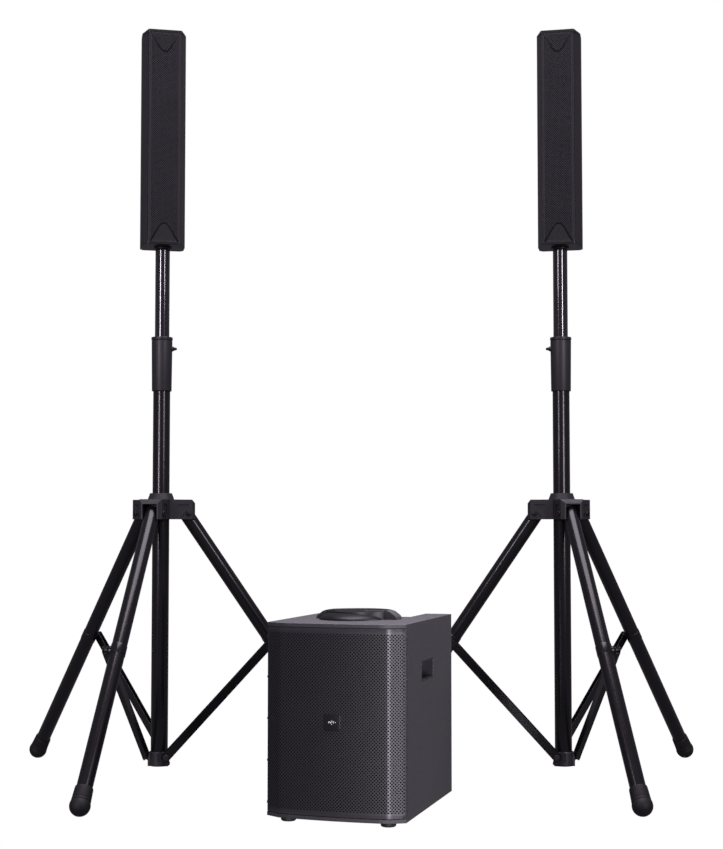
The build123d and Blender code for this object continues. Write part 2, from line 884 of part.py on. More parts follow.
def make_panel_knob(spot):
    x, y = spot
    low_radius = knob_body_od / 2
    high_radius = low_radius - knob_taper
    grip = Cone(low_radius, high_radius, knob_height, align=(Align.CENTER, Align.CENTER, Align.MIN))
    shaft = upright(knob_shaft_od / 2, -panel_thick - 4, 1)
    pointer = block(-1, 1, 2, low_radius - 2, knob_height, knob_height + pointer_proud)
    return panel_place() * Pos(x, y, slide_gap) * (grip + shaft + pointer)


def make_power_switch():
    x, y = switch_spot()
    half = rocker_length / 2
    side = [
        (-half, 0),
        (half, 0),
        (half, rocker_low_height),
        (0, rocker_middle_height),
        (-half, rocker_height),
    ]
    face = make_face(Plane.YZ * Polyline(*side, close=True))
    rocker = Pos(0, 0, rocker_lift) * extrude(face, rocker_width / 2, both=True)
    axle_radius = knob_shaft_od / 2
    axle = outward(axle_radius, -rocker_pin_half, rocker_pin_half, -panel_thick / 2)
    stem = block(-rocker_pin_half, rocker_pin_half, -1, 1, -panel_thick / 2, rocker_lift + 1)
    return panel_place() * Pos(x, y, 0) * (rocker + stem + axle)


def make_sockets():
    row = -control_row()
    pieces = []
    for x in jack_x:
        ring = upright(jack_od / 2, 0, jack_proud) - upright(jack_od / 2 - jack_rim, 1, jack_proud)
        pieces.append((Pos(x, row, 0) * ring).solid())
    half_x = inlet_width / 2
    half_y = inlet_height / 2
    in_x = half_x - jack_rim
    in_y = half_y - jack_rim
    inlet = block(-half_x, half_x, -half_y, half_y, 0, jack_proud)
    inlet -= block(-in_x, in_x, -in_y, in_y, 1, jack_proud)
    pieces.append((Pos(inlet_x, row, 0) * inlet).solid())
    sx, sy = switch_spot()
    frame_x = rocker_width / 2 + 1
    frame_y = rocker_length / 2 + 1
    outer_x = frame_x + switch_frame
    outer_y = frame_y + switch_frame
    frame = block(-outer_x, outer_x, -outer_y, outer_y, 0, 2)
    frame -= block(-frame_x, frame_x, -frame_y, frame_y, 0, 2)
    pieces.append((Pos(sx, sy, 0) * frame).solid())
    return Compound([panel_place() * piece for piece in pieces])


# Assembly


def stand_nodes():
    nodes = {
        "main_tube": make_main_tube(),
        "bottom_collar": make_bottom_collar(),
        "sleeve": make_sleeve(),
        "sleeve_bush": make_bush(),
        "lock_pin": make_lock_pin(),
        "mast": make_mast(),
        "hub": make_hub(),
        "hub_bolts": Compound([bolt.solid() for bolt in at_azimuths(hub_bolt())]),
        "hub_knob": make_hub_knob(),
    }
    legs = {"leg": make_leg(), "foot": make_foot(), "brace": make_brace()}
    for kind, shape in legs.items():
        for number, placed in enumerate(at_azimuths(shape), start=1):
            nodes[f"{kind}_{number}"] = placed
    toe = Rot(0, 0, column_toe_in)
    nodes["column_housing"] = toe * make_column_housing()
    nodes["column_grille"] = toe * make_column_grille()
    nodes["column_end_caps"] = toe * make_column_end_caps()
    nodes["column_drivers"] = toe * make_column_drivers()
    nodes["column_socket"] = toe * make_column_socket()
    return nodes


def sub_nodes():
    spots = knob_spots()
    return {
        "sub_cabinet": make_sub_cabinet(),
        "sub_baffle": make_sub_baffle(),
        "sub_grille": make_sub_grille(),
        "woofer_basket": make_woofer_basket(),
        "woofer_cone": make_woofer_cone(),
        "top_handle": make_top_handle(),
        "side_cups": make_side_cups(),
        "sub_feet": make_sub_feet(),
        "mixer_panel": make_mixer_panel(),
        "sockets": make_sockets(),
        "channel_knob_1": make_panel_knob(spots[0]),
        "channel_knob_2": make_panel_knob(spots[1]),
        "master_knob": make_panel_knob(spots[2]),
        "power_switch": make_power_switch(),
    }


def sub_place():
    turn = radians(sub_yaw)
    x = sub_corner_x - sub_width / 2 * cos(turn)
    y = sub_corner_y - sub_width / 2 * sin(turn)
    return Pos(x, y, 0) * Rot(0, 0, sub_yaw)


def stand_place(side):
    # The right-hand stand is a mirror image of the left one.
    return Pos(side * stand_spacing / 2, 0, 0)


def all_nodes():
    nodes = {}
    for name, shape in stand_nodes().items():
        nodes["left_" + name] = stand_place(-1) * shape
        nodes["right_" + name] = stand_place(1) * mirror(shape, about=Plane.YZ)
    for name, shape in sub_nodes().items():
        nodes[name] = sub_place() * shape
    return nodes


def footprint_shift(nodes):
    boxes = [shape.bounding_box() for shape in nodes.values()]
    x_middle = (min(box.min.X for box in boxes) + max(box.max.X for box in boxes)) / 2
    y_middle = (min(box.min.Y for box in boxes) + max(box.max.Y for box in boxes)) / 2
    return Pos(-x_middle, -y_middle, -min(box.min.Z for box in boxes))


nodes = all_nodes()
shift = footprint_shift(nodes)
os.makedirs("parts", exist_ok=True)
for name, shape in nodes.items():
    export_step(shift * shape, f"parts/{name}.step")
print(len(nodes), "nodes, moved by", shift.position)
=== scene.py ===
import json
import math

import bmesh
import bpy
from mathutils import Matrix, Vector


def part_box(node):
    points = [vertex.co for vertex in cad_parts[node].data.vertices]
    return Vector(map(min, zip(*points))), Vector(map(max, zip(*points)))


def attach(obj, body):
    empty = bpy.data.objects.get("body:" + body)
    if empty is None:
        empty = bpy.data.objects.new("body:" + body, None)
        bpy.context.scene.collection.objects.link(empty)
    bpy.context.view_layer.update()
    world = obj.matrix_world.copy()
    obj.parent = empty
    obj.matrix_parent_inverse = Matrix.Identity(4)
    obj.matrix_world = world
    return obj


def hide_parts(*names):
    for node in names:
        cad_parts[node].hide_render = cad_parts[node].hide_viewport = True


# Shapes are built in millimetres, with a stand's tube or the cabinet's front edge at the origin,
# and placed in metres. The right stand is the left one mirrored.

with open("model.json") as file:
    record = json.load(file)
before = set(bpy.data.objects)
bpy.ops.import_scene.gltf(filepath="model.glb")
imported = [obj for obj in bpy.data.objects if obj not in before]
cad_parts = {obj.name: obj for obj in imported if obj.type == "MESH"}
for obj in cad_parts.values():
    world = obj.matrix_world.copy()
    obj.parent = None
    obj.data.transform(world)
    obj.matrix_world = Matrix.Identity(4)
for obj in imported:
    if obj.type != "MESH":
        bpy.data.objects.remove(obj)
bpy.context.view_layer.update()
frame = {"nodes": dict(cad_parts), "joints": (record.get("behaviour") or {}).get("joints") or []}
joints = {joint["name"]: joint for joint in frame["joints"]}
mm = 0.001
print("frame loaded", len(frame["nodes"]), "nodes")


# Matrices


def turn(axis, degrees):
    return Matrix.Rotation(math.radians(degrees), 4, axis)


def shift(x=0.0, y=0.0, z=0.0):
    return Matrix.Translation((x, y, z))


def onCircle(radius, degrees):
    angle = math.radians(degrees)
    return radius * math.cos(angle), radius * math.sin(angle)


outward = turn("Y", 90)
across = turn("X", -90)


# Shapes


def softened(points, radius, steps=3, closed=True):
    count = len(points)
    result = []
    for index, point in enumerate(points):
        here = Vector(point)
        if not closed and index in (0, count - 1):
            result.append(here)
            continue
        before = Vector(points[index - 1]) - here
        after = Vector(points[(index + 1) % count]) - here
        cut = min(radius, before.length * 0.45, after.length * 0.45)
        start = here + before.normalized() * cut
        end = here + after.normalized() * cut
        for step in range(steps + 1):
            share = step / steps
            result.append(start.lerp(here, share).lerp(here.lerp(end, share), share))
    return result


def turned(profile, segments=64, closed=True):
    # A turned shape about Z from an outline in radius and height.
    shape = bmesh.new()
    ring = [shape.verts.new((radius, 0, height)) for radius, height in profile]
    pairs = list(zip(ring, ring[1:]))
    if closed:
        pairs.append((ring[-1], ring[0]))
    edges = [shape.edges.new(pair) for pair in pairs]
    bmesh.ops.spin(
        shape, geom=ring + edges, cent=(0, 0, 0), axis=(0, 0, 1), angle=2 * math.pi,
        steps=segments, use_merge=True,
    )
    bmesh.ops.remove_doubles(shape, verts=shape.verts, dist=0.0005)
    bmesh.ops.dissolve_degenerate(shape, edges=shape.edges, dist=0.0005)
    bmesh.ops.recalc_face_normals(shape, faces=shape.faces)
    return shape


def spun(outline, edge, steps, segments):
    # A turned shape whose outline starts and ends on Z.
    return turned(softened(outline, edge, steps, closed=False), segments, closed=False)


def rod(radius, low, high, edge=0.4, segments=48):
    return spun([(0, low), (radius, low), (radius, high), (0, high)], edge, 3, segments)


def pipe(inner, outer, low, high, edge=0.4, segments=64):
    outline = [(inner, low), (outer, low), (outer, high), (inner, high)]
    return turned(softened(outline, edge, 2), segments)


def raised(shape, faces, height):
    grown = bmesh.ops.extrude_face_region(shape, geom=faces)
    top = [item for item in grown["geom"] if isinstance(item, bmesh.types.BMVert)]
    bmesh.ops.translate(shape, verts=top, vec=(0, 0, height))
    bmesh.ops.recalc_face_normals(shape, faces=shape.faces)
    return shape


def prism(outline, low, high, edge=0.0, segments=2):
    shape = bmesh.new()
    face = shape.faces.new([shape.verts.new((point[0], point[1], low)) for point in outline])
    raised(shape, [face], high - low)
    if edge:
        rounded(shape, edge, segments)
    return shape


def rounded(shape, width, segments=2, sharp=25):
    limit = math.radians(sharp)
    edges = [edge for edge in shape.edges if edge.is_manifold and edge.calc_face_angle(0) > limit]
    bmesh.ops.bevel(
        shape, geom=edges, offset=width, offset_type="OFFSET", segments=segments, profile=0.5,
        affect="EDGES", clamp_overlap=True, material=-1,
    )
    return shape


def slab(low, high, edge=0.3, segments=2):
    outline = [(low[0], low[1]), (high[0], low[1]), (high[0], high[1]), (low[0], high[1])]
    return prism(outline, low[2], high[2], edge, segments)


def roundedSquare(half, corner, steps=5):
    corners = [(-half, -half), (half, -half), (half, half), (-half, half)]
    return softened(corners, corner, steps)


def cutAway(shape, spot, normal, **sides):
    geometry = list(shape.verts) + list(shape.edges) + list(shape.faces)
    bmesh.ops.bisect_plane(shape, geom=geometry, plane_co=spot, plane_no=normal, **sides)


def keptSide(shape, spot, normal):
    cutAway(shape, spot, normal, clear_inner=True)
    rim = [edge for edge in shape.edges if edge.is_boundary]
    bmesh.ops.holes_fill(shape, edges=rim, sides=0)
    bmesh.ops.recalc_face_normals(shape, faces=shape.faces)
    return shape


def placed(shape, matrix):
    shape.transform(matrix)
    if matrix.determinant() < 0:
        bmesh.ops.reverse_faces(shape, faces=shape.faces)
    return shape


def gathered(shapes):
    whole = bmesh.new()
    for shape in shapes:
        holder = bpy.data.meshes.new("holder")
        shape.to_mesh(holder)
        shape.free()
        whole.from_mesh(holder)
        bpy.data.meshes.remove(holder)
    return whole


def cadCopy(node, width, segments=2, sharp=25):
    shape = bmesh.new()
    shape.from_mesh(frame["nodes"][node].data)
    bmesh.ops.remove_doubles(shape, verts=shape.verts, dist=0.00001)
    bmesh.ops.dissolve_limit(
        shape, angle_limit=math.radians(1), verts=shape.verts, edges=shape.edges
    )
    if width:
        rounded(shape, width * mm, segments, sharp)
    return shape


def addPiece(name, shape, body, look, replaces=(), limit=50, even=False):
    for face in shape.faces:
        face.smooth = True
    for edge in shape.edges:
        edge.smooth = edge.is_manifold and edge.calc_face_angle(0) < math.radians(limit)
    data = bpy.data.meshes.new(name)
    shape.to_mesh(data)
    shape.free()
    data.materials.append(materials[look])
    piece = bpy.data.objects.new(name, data)
    bpy.context.scene.collection.objects.link(piece)
    if even:
        weighted = piece.modifiers.new("evenShade", "WEIGHTED_NORMAL")
        weighted.keep_sharp = True
    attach(piece, body)
    if replaces:
        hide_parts(*replaces)
    return piece


def addSidePiece(side, name, shape, body, look, node="", limit=40, even=False):
    # A piece of the left or right stand, from its names without the side.
    rides = body if body == "root" else side + "_" + body
    nodes = [side + "_" + node] if node else ()
    return addPiece(side + name, shape, rides, look, nodes, limit, even)


# Node groups shared by the materials


def newGroup(name, inputs, outputs):
    group = bpy.data.node_groups.new(name, "ShaderNodeTree")
    for label, kind, value in inputs:
        socket = group.interface.new_socket(label, in_out="INPUT", socket_type=kind)
        if value is not None:
            socket.default_value = value
    for label, kind in outputs:
        group.interface.new_socket(label, in_out="OUTPUT", socket_type=kind)
    return group


def addNode(tree, kind, settings=None, values=None):
    node = tree.nodes.new("ShaderNode" + kind)
    for key, value in (settings or {}).items():
        setattr(node, key, value)
    for key, value in (values or {}).items():
        node.inputs[key].default_value = value
    return node


def addRamp(tree, low, high, top=1.0):
    return addNode(tree, "MapRange", values={"From Min": low, "From Max": high, "To Max": top})


def addMix(tree):
    return addNode(tree, "Mix", {"data_type": "RGBA"})


def addMath(tree, operation):
    return addNode(tree, "Math", {"operation": operation})


def linker(tree):
    def link(source, output, target, entry):
        tree.links.new(source.outputs[output], target.inputs[entry])

    return link


def makeGrainGroup():
    group = newGroup(
        "surfaceGrain",
        [
            ("Vector", "NodeSocketVector", None),
            ("Scale", "NodeSocketFloat", 900.0),
            ("Pebble", "NodeSocketFloat", 0.0),
            ("Depth", "NodeSocketFloat", 0.0001),
        ],
        [("Normal", "NodeSocketVector"), ("Height", "NodeSocketFloat")],
    )
    link = linker(group)
    start = group.nodes.new("NodeGroupInput")
    end = group.nodes.new("NodeGroupOutput")
    noise = addNode(group, "TexNoise", values={"Detail": 3.0, "Roughness": 0.55})
    cells = addNode(group, "TexVoronoi", {"feature": "SMOOTH_F1"}, {"Smoothness": 0.6})
    blend = addNode(group, "Mix", {"data_type": "FLOAT"})
    bump = addNode(group, "Bump", values={"Strength": 1.0})
    link(start, "Vector", noise, "Vector")
    link(start, "Vector", cells, "Vector")
    link(start, "Scale", noise, "Scale")
    link(start, "Scale", cells, "Scale")
    link(start, "Pebble", blend, 0)
    link(noise, "Fac", blend, 2)
    link(cells, "Distance", blend, 3)
    link(start, "Depth", bump, "Distance")
    link(blend, 0, bump, "Height")
    link(bump, "Normal", end, "Normal")
    link(blend, 0, end, "Height")
    return group


def makeWearGroup():
    group = newGroup(
        "edgeWear",
        [
            ("Vector", "NodeSocketVector", None),
            ("Radius", "NodeSocketFloat", 0.0008),
            ("Amount", "NodeSocketFloat", 0.3),
        ],
        [("Mask", "NodeSocketFloat")],
    )
    link = linker(group)
    start = group.nodes.new("NodeGroupInput")
    end = group.nodes.new("NodeGroupOutput")
    edge = addNode(group, "Bevel", {"samples": 4})
    here = addNode(group, "NewGeometry")
    dot = addNode(group, "VectorMath", {"operation": "DOT_PRODUCT"})
    band = addRamp(group, 0.995, 0.9)
    noise = addNode(group, "TexNoise", values={"Scale": 140.0, "Detail": 4.0})
    patch = addRamp(group, 0.42, 0.62)
    both = addMath(group, "MULTIPLY")
    scaled = addMath(group, "MULTIPLY")
    link(start, "Radius", edge, "Radius")
    link(edge, "Normal", dot, 0)
    link(here, "Normal", dot, 1)
    link(dot, "Value", band, "Value")
    link(start, "Vector", noise, "Vector")
    link(noise, "Fac", patch, "Value")
    link(band, "Result", both, 0)
    link(patch, "Result", both, 1)
    link(both, "Value", scaled, 0)
    link(start, "Amount", scaled, 1)
    link(scaled, "Value", end, "Mask")
    return group


def makeDustGroup():
    group = newGroup(
        "dustAndSmudge",
        [
            ("Vector", "NodeSocketVector", None),
            ("Facing", "NodeSocketVector", None),
            ("Color", "NodeSocketColor", None),
            ("Roughness", "NodeSocketFloat", 0.4),
            ("Dust", "NodeSocketFloat", 0.1),
            ("Smudge", "NodeSocketFloat", 0.1),
        ],
        [("Color", "NodeSocketColor"), ("Roughness", "NodeSocketFloat")],
    )
    link = linker(group)
    start = group.nodes.new("NodeGroupInput")
    end = group.nodes.new("NodeGroupOutput")
    parts = addNode(group, "SeparateXYZ")
    upward = addRamp(group, 0.2, 1.0)
    fine = addNode(group, "TexNoise", values={"Scale": 420.0, "Detail": 5.0})
    broad = addNode(group, "TexNoise", values={"Scale": 16.0, "Detail": 3.0})
    specks = addRamp(group, 0.45, 0.75)
    lying = addMath(group, "MULTIPLY")
    amount = addMath(group, "MULTIPLY")
    tint = addMix(group)
    tint.inputs[7].default_value = (0.16, 0.155, 0.15, 1.0)
    swing = addNode(group, "Math", {"operation": "SUBTRACT"}, {1: 0.5})
    smear = addMath(group, "MULTIPLY")
    rough = addMath(group, "ADD")
    rougher = addNode(group, "Math", {"operation": "ADD", "use_clamp": True})
    link(start, "Facing", parts, 0)
    link(parts, "Z", upward, "Value")
    link(start, "Vector", fine, "Vector")
    link(start, "Vector", broad, "Vector")
    link(fine, "Fac", specks, "Value")
    link(upward, "Result", lying, 0)
    link(specks, "Result", lying, 1)
    link(lying, "Value", amount, 0)
    link(start, "Dust", amount, 1)
    link(amount, "Value", tint, 0)
    link(start, "Color", tint, 6)
    link(tint, 2, end, "Color")
    link(broad, "Fac", swing, 0)
    link(swing, "Value", smear, 0)
    link(start, "Smudge", smear, 1)
    link(start, "Roughness", rough, 0)
    link(smear, "Value", rough, 1)
    link(rough, "Value", rougher, 0)
    link(amount, "Value", rougher, 1)
    link(rougher, "Value", end, "Roughness")
    return group


grainGroup = makeGrainGroup()
wearGroup = makeWearGroup()
dustGroup = makeDustGroup()


# Materials: base colour and its mottle, finish, grain size and depth, edge wear, dust and smudges,
# and painted highlight specks on the grain


surfaceValues = (
    ("Metallic", "metal", 0.0),
    ("Specular IOR Level", "specular", 0.5),
    ("Coat Weight", "coat", 0.0),
    ("Coat Roughness", "coatRough", 0.1),
    ("Sheen Weight", "sheen", 0.0),
)


def makeMaterial(name, look):
    material = bpy.data.materials.new(name)
    material.use_nodes = True
    tree = material.node_tree
    tree.nodes.clear()
    link = linker(tree)
    output = addNode(tree, "OutputMaterial")
    surface = addNode(tree, "BsdfPrincipled")
    where = addNode(tree, "TexCoord")
    grain = addNode(tree, "Group", {"node_tree": grainGroup})
    dust = addNode(tree, "Group", {"node_tree": dustGroup})
    grain.inputs["Scale"].default_value = look["grainScale"]
    grain.inputs["Pebble"].default_value = look.get("pebble", 0.0)
    grain.inputs["Depth"].default_value = look["grainDepth"]
    dust.inputs["Roughness"].default_value = look["rough"]
    dust.inputs["Dust"].default_value = look.get("dust", 0.05)
    dust.inputs["Smudge"].default_value = look.get("smudge", 0.1)
    mottle = addNode(tree, "TexNoise", values={"Detail": 4.0})
    mottle.inputs["Scale"].default_value = look.get("mottleScale", 60.0)
    colours = addMix(tree)
    base = look["color"]
    colours.inputs[6].default_value = (*base, 1.0)
    strength = look.get("mottle", 1.25)
    colours.inputs[7].default_value = (*[channel * strength for channel in base], 1.0)
    link(where, "Object", grain, "Vector")
    link(where, "Object", dust, "Vector")
    link(where, "Object", mottle, "Vector")
    link(where, "Normal", dust, "Facing")
    link(mottle, "Fac", colours, 0)
    tinted = (colours, 2)
    if look.get("wear"):
        wear = addNode(tree, "Group", {"node_tree": wearGroup})
        wear.inputs["Amount"].default_value = look["wear"]
        worn = addMix(tree)
        worn.inputs[7].default_value = (*look.get("wornColor", (0.09, 0.088, 0.092)), 1.0)
        link(where, "Object", wear, "Vector")
        link(wear, "Mask", worn, 0)
        link(*tinted, worn, 6)
        tinted = (worn, 2)
    # Painted highlight: the grain's raised tops get a lighter colour, as though the textured paint
    # caught the light.
    if look.get("speckle"):
        glintPick = addRamp(tree, 0.5, 0.7, look["speckle"])
        glintSpeck = addMix(tree)
        glintSpeck.inputs[7].default_value = (*[channel * 3.5 for channel in base], 1.0)
        link(grain, "Height", glintPick, "Value")
        link(glintPick, "Result", glintSpeck, 0)
        link(*tinted, glintSpeck, 6)
        tinted = (glintSpeck, 2)
    link(*tinted, dust, "Color")
    link(dust, "Color", surface, "Base Color")
    link(dust, "Roughness", surface, "Roughness")
    link(grain, "Normal", surface, "Normal")
    for entry, key, usual in surfaceValues:
        surface.inputs[entry].default_value = look.get(key, usual)
    link(surface, "BSDF", output, "Surface")
    return material


paleWear = (0.04, 0.038, 0.043)
bareWear = (0.2, 0.2, 0.21)
looks = {
    "tubePaint": dict(
        color=(0.0075, 0.007, 0.0083), rough=0.24, coat=0.2, coatRough=0.1, grainScale=500,
        grainDepth=0.000003, dust=0.04, smudge=0.08, specular=0.4,
    ),
    "mastPaint": dict(
        color=(0.0065, 0.006, 0.0073), rough=0.16, coat=0.9, coatRough=0.06, grainScale=500,
        grainDepth=0.0000015, dust=0.02, smudge=0.06, specular=1.0,
    ),
    "nylon": dict(
        color=(0.023, 0.021, 0.0255), rough=0.44, grainScale=1500, grainDepth=0.000015, wear=0.2,
        wornColor=paleWear, dust=0.08,
    ),
    "softNylon": dict(
        color=(0.0085, 0.0079, 0.0095), rough=0.42, grainScale=1100, grainDepth=0.00002,
        pebble=0.3, wear=0.2, wornColor=paleWear, dust=0.06,
    ),
    "rubber": dict(
        color=(0.0075, 0.0071, 0.0082), rough=0.6, grainScale=900, grainDepth=0.00003, pebble=0.4,
        wear=0.3, wornColor=(0.035, 0.034, 0.033), dust=0.12, specular=0.4,
    ),
    "oxideSteel": dict(
        color=(0.03, 0.03, 0.032), rough=0.38, metal=0.85, grainScale=1200, grainDepth=0.000006,
        wear=0.4, wornColor=bareWear,
    ),
    "screwSteel": dict(
        color=(0.02, 0.02, 0.022), rough=0.35, metal=0.6, grainScale=1500, grainDepth=0.000006,
        wear=0.4, wornColor=bareWear,
    ),
    "shellPlastic": dict(
        color=(0.019, 0.0173, 0.0212), rough=0.4, grainScale=1300, grainDepth=0.00003, pebble=0.5,
        wear=0.2, wornColor=paleWear, dust=0.06,
    ),
    "grillePaint": dict(
        color=(0.022, 0.02, 0.0245), rough=0.4, grainScale=1600, grainDepth=0.00001,
    ),
    "cabinetGrille": dict(
        color=(0.006, 0.0054, 0.0068), rough=0.42, grainScale=1600, grainDepth=0.00001, dust=0.04,
        smudge=0.08, specular=0.85,
    ),
    "grilleRail": dict(
        color=(0.0185, 0.017, 0.0205), rough=0.4, grainScale=1500, grainDepth=0.00001, wear=0.2,
    ),
    # Near-black foam behind the grilles, also standing in for the shade seen through their holes.
    "acousticFoam": dict(
        color=(0.004, 0.004, 0.0042), rough=0.95, grainScale=600, grainDepth=0.0006, pebble=0.7,
        dust=0.0, specular=0.1,
    ),
    "glossTrim": dict(
        color=(0.0025, 0.0023, 0.0028), rough=0.4, grainScale=1000, grainDepth=0.000003,
        dust=0.02, specular=0.25,
    ),
    "archPlastic": dict(
        color=(0.0085, 0.0078, 0.0095), rough=0.46, grainScale=1200, grainDepth=0.00001,
        dust=0.03, specular=0.4,
    ),
    "capPlastic": dict(
        color=(0.0105, 0.0096, 0.0118), rough=0.36, grainScale=1300, grainDepth=0.00001, wear=0.2,
        wornColor=paleWear, dust=0.08,
    ),
    # The lighter specks of this paint are painted highlights on the tops of its grain.
    "cabinetPaint": dict(
        color=(0.021, 0.0202, 0.0218), rough=0.55, grainScale=620, grainDepth=0.00022,
        pebble=0.55, wear=0.3, wornColor=(0.06, 0.058, 0.062), dust=0.12, smudge=0.08,
        speckle=0.4,
    ),
    "bareBoard": dict(
        color=(0.012, 0.012, 0.0122), rough=0.8, grainScale=300, grainDepth=0.0002, dust=0.1,
    ),
    "alloyPaint": dict(
        color=(0.02, 0.0195, 0.0215), rough=0.4, grainScale=1200, grainDepth=0.00003, wear=0.3,
        dust=0.08,
    ),
    "conePulp": dict(
        color=(0.014, 0.0138, 0.0142), rough=0.75, grainScale=500, grainDepth=0.0001, dust=0.08,
        mottle=1.8, mottleScale=220,
    ),
    "surroundFoam": dict(
        color=(0.009, 0.009, 0.0095), rough=0.65, grainScale=800, grainDepth=0.00005, sheen=0.1,
    ),
    "dustCap": dict(
        color=(0.011, 0.0108, 0.0112), rough=0.45, grainScale=900, grainDepth=0.00002,
    ),
    "motorSteel": dict(
        color=(0.05, 0.05, 0.052), rough=0.4, metal=0.8, grainScale=700, grainDepth=0.00001,
    ),
    "panelPaint": dict(
        color=(0.011, 0.0107, 0.0115), rough=0.42, grainScale=1400, grainDepth=0.00002, wear=0.3,
        dust=0.06,
    ),
    "printInk": dict(
        color=(0.55, 0.55, 0.54), rough=0.55, grainScale=1600, grainDepth=0.000005, dust=0.0,
        mottle=1.08,
    ),
    "socketPlastic": dict(
        color=(0.007, 0.007, 0.0075), rough=0.33, grainScale=1200, grainDepth=0.00001, dust=0.04,
    ),
    "contactMetal": dict(
        color=(0.72, 0.66, 0.5), rough=0.25, metal=1.0, grainScale=1800, grainDepth=0.000003,
        dust=0.0, mottle=1.1,
    ),
    "badgePlate": dict(
        color=(0.006, 0.0056, 0.0066), rough=0.34, grainScale=1500, grainDepth=0.000005,
        dust=0.02,
    ),
    "badgeMark": dict(
        color=(0.4, 0.4, 0.41), rough=0.3, metal=0.7, grainScale=1500, grainDepth=0.000003,
        dust=0.0, mottle=1.1,
    ),
}
materials = {name: makeMaterial(name, look) for name, look in looks.items()}

nodeMaterials = {
    "main_tube": "tubePaint",
    "mast": "mastPaint",
    "leg": "tubePaint",
    "brace": "tubePaint",
    "foot": "rubber",
    "bottom_collar": "nylon",
    "sleeve": "nylon",
    "sleeve_bush": "softNylon",
    "hub": "nylon",
    "hub_knob": "softNylon",
    "lock_pin": "oxideSteel",
    "hub_bolts": "oxideSteel",
    "column_housing": "shellPlastic",
    "column_grille": "grillePaint",
    "column_end_caps": "capPlastic",
    "column_drivers": "motorSteel",
    "column_socket": "alloyPaint",
    "sub_cabinet": "cabinetPaint",
    "sub_baffle": "bareBoard",
    "sub_grille": "grillePaint",
    "woofer_basket": "alloyPaint",
    "woofer_cone": "conePulp",
    "top_handle": "softNylon",
    "side_cups": "softNylon",
    "sub_feet": "rubber",
    "mixer_panel": "panelPaint",
    "sockets": "socketPlastic",
    "channel_knob": "softNylon",
    "master_knob": "softNylon",
    "power_switch": "glossTrim",
}
for name, node in frame["nodes"].items():
    plain = name.replace("left_", "").replace("right_", "")
    while plain not in nodeMaterials:
        plain = plain.rsplit("_", 1)[0]
    node.data.materials.clear()
    node.data.materials.append(materials[nodeMaterials[plain]])
print("materials made", len(materials))


# Places


def standPlace(side):
    low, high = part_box(side + "_mast")
    flip = mm if side == "left" else -mm
    middle = (low + high) / 2
    return shift(middle.x, middle.y, 0) @ Matrix.Diagonal((flip, mm, mm, 1))


stand = dict(
    tubeRadius=20.5,
    mastRadius=17.5,
    seatGap=0.1,
    pivotRadius=62.0,
    legReach=501.0,
    legRadius=17.25,
    legAzimuths=(18, 138, 258),
    columnToeIn=11.6,
)


def boxHeights(node):
    low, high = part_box(node)
    return low.z / mm, high.z / mm


pivotHeight = joints["left_leg_1_hinge"]["pos_m"][2] / mm
legAngle = math.degrees(math.atan2(stand["legReach"] - stand["pivotRadius"], pivotHeight))
legLength = math.hypot(stand["legReach"] - stand["pivotRadius"], pivotHeight)
onLeg = shift(stand["pivotRadius"], 0, pivotHeight) @ turn("Y", -legAngle)


# Stand: tubes, sleeve and pin

sleeve = dict(low=933.5, top=1065.0, lowRadius=23.85, rimHeight=7.0, rimRadius=25.85, lip=3.0)
lock = dict(height=1037.0, boss=6.0, reach=27.97, pin=2.5, knob=4.5, length=8.0, gap=0.3)


def tubeShape():
    low, high = boxHeights("left_main_tube")
    return pipe(stand["tubeRadius"] - 1.8, stand["tubeRadius"], low, high, 0.5, 96)


def mastShape():
    low, high = boxHeights("left_mast")
    inner = stand["mastRadius"] - 1.5
    outer = stand["mastRadius"]
    outline = [(inner, low), (outer, low), (outer, high - 2.5), (outer - 1, high), (inner, high)]
    return turned(softened(outline, 0.4, 2), 96)


def sleeveShape():
    bore = stand["tubeRadius"] + stand["seatGap"]
    rimLow = sleeve["top"] - sleeve["rimHeight"]
    neck = sleeve["rimRadius"] - 0.7
    mouth = stand["mastRadius"] + 0.6
    outline = [
        (bore, sleeve["low"]), (sleeve["lowRadius"], sleeve["low"]), (neck, rimLow - 2.4),
        (neck - 0.9, rimLow - 2.0), (neck - 0.9, rimLow - 0.4), (sleeve["rimRadius"], rimLow),
        (sleeve["rimRadius"], sleeve["top"]), (mouth, sleeve["top"]),
        (mouth, sleeve["top"] - sleeve["lip"]), (bore, sleeve["top"] - sleeve["lip"]),
    ]
    body = turned(softened(outline, 0.8), 96)
    bossLine = [
        (lock["pin"] + 0.3, 24.0), (lock["boss"] + 1.6, 24.0), (lock["boss"], 25.8),
        (lock["boss"], lock["reach"]), (lock["pin"] + 0.3, lock["reach"]),
    ]
    boss = placed(turned(softened(bossLine, 0.5), 40), shift(0, 0, lock["height"]) @ outward)
    return gathered([body, boss])


def lockPinShape():
    start = lock["reach"] + lock["gap"]
    outline = [
        (0, stand["mastRadius"] + 0.3), (lock["pin"], stand["mastRadius"] + 0.3),
        (lock["pin"], start), (lock["knob"], start), (lock["knob"], start + 1.2),
        (lock["knob"] - 0.7, start + 1.7), (lock["knob"] - 0.5, start + 2.6),
        (lock["knob"] - 1.0, start + 3.1), (lock["knob"] - 0.9, start + 4.0),
        (lock["pin"] + 0.2, start + lock["length"] - 0.6),
        (lock["pin"] - 0.6, start + lock["length"]), (0, start + lock["length"]),
    ]
    shape = spun(outline, 0.3, 2, 40)
    return placed(shape, shift(0, 0, lock["height"]) @ outward)


# Stand: hub bolts and hub knob

hub = dict(half=28.5, knobAzimuth=78.0, knobHeight=645.8, knobStart=45.0, knobRadius=17.0)


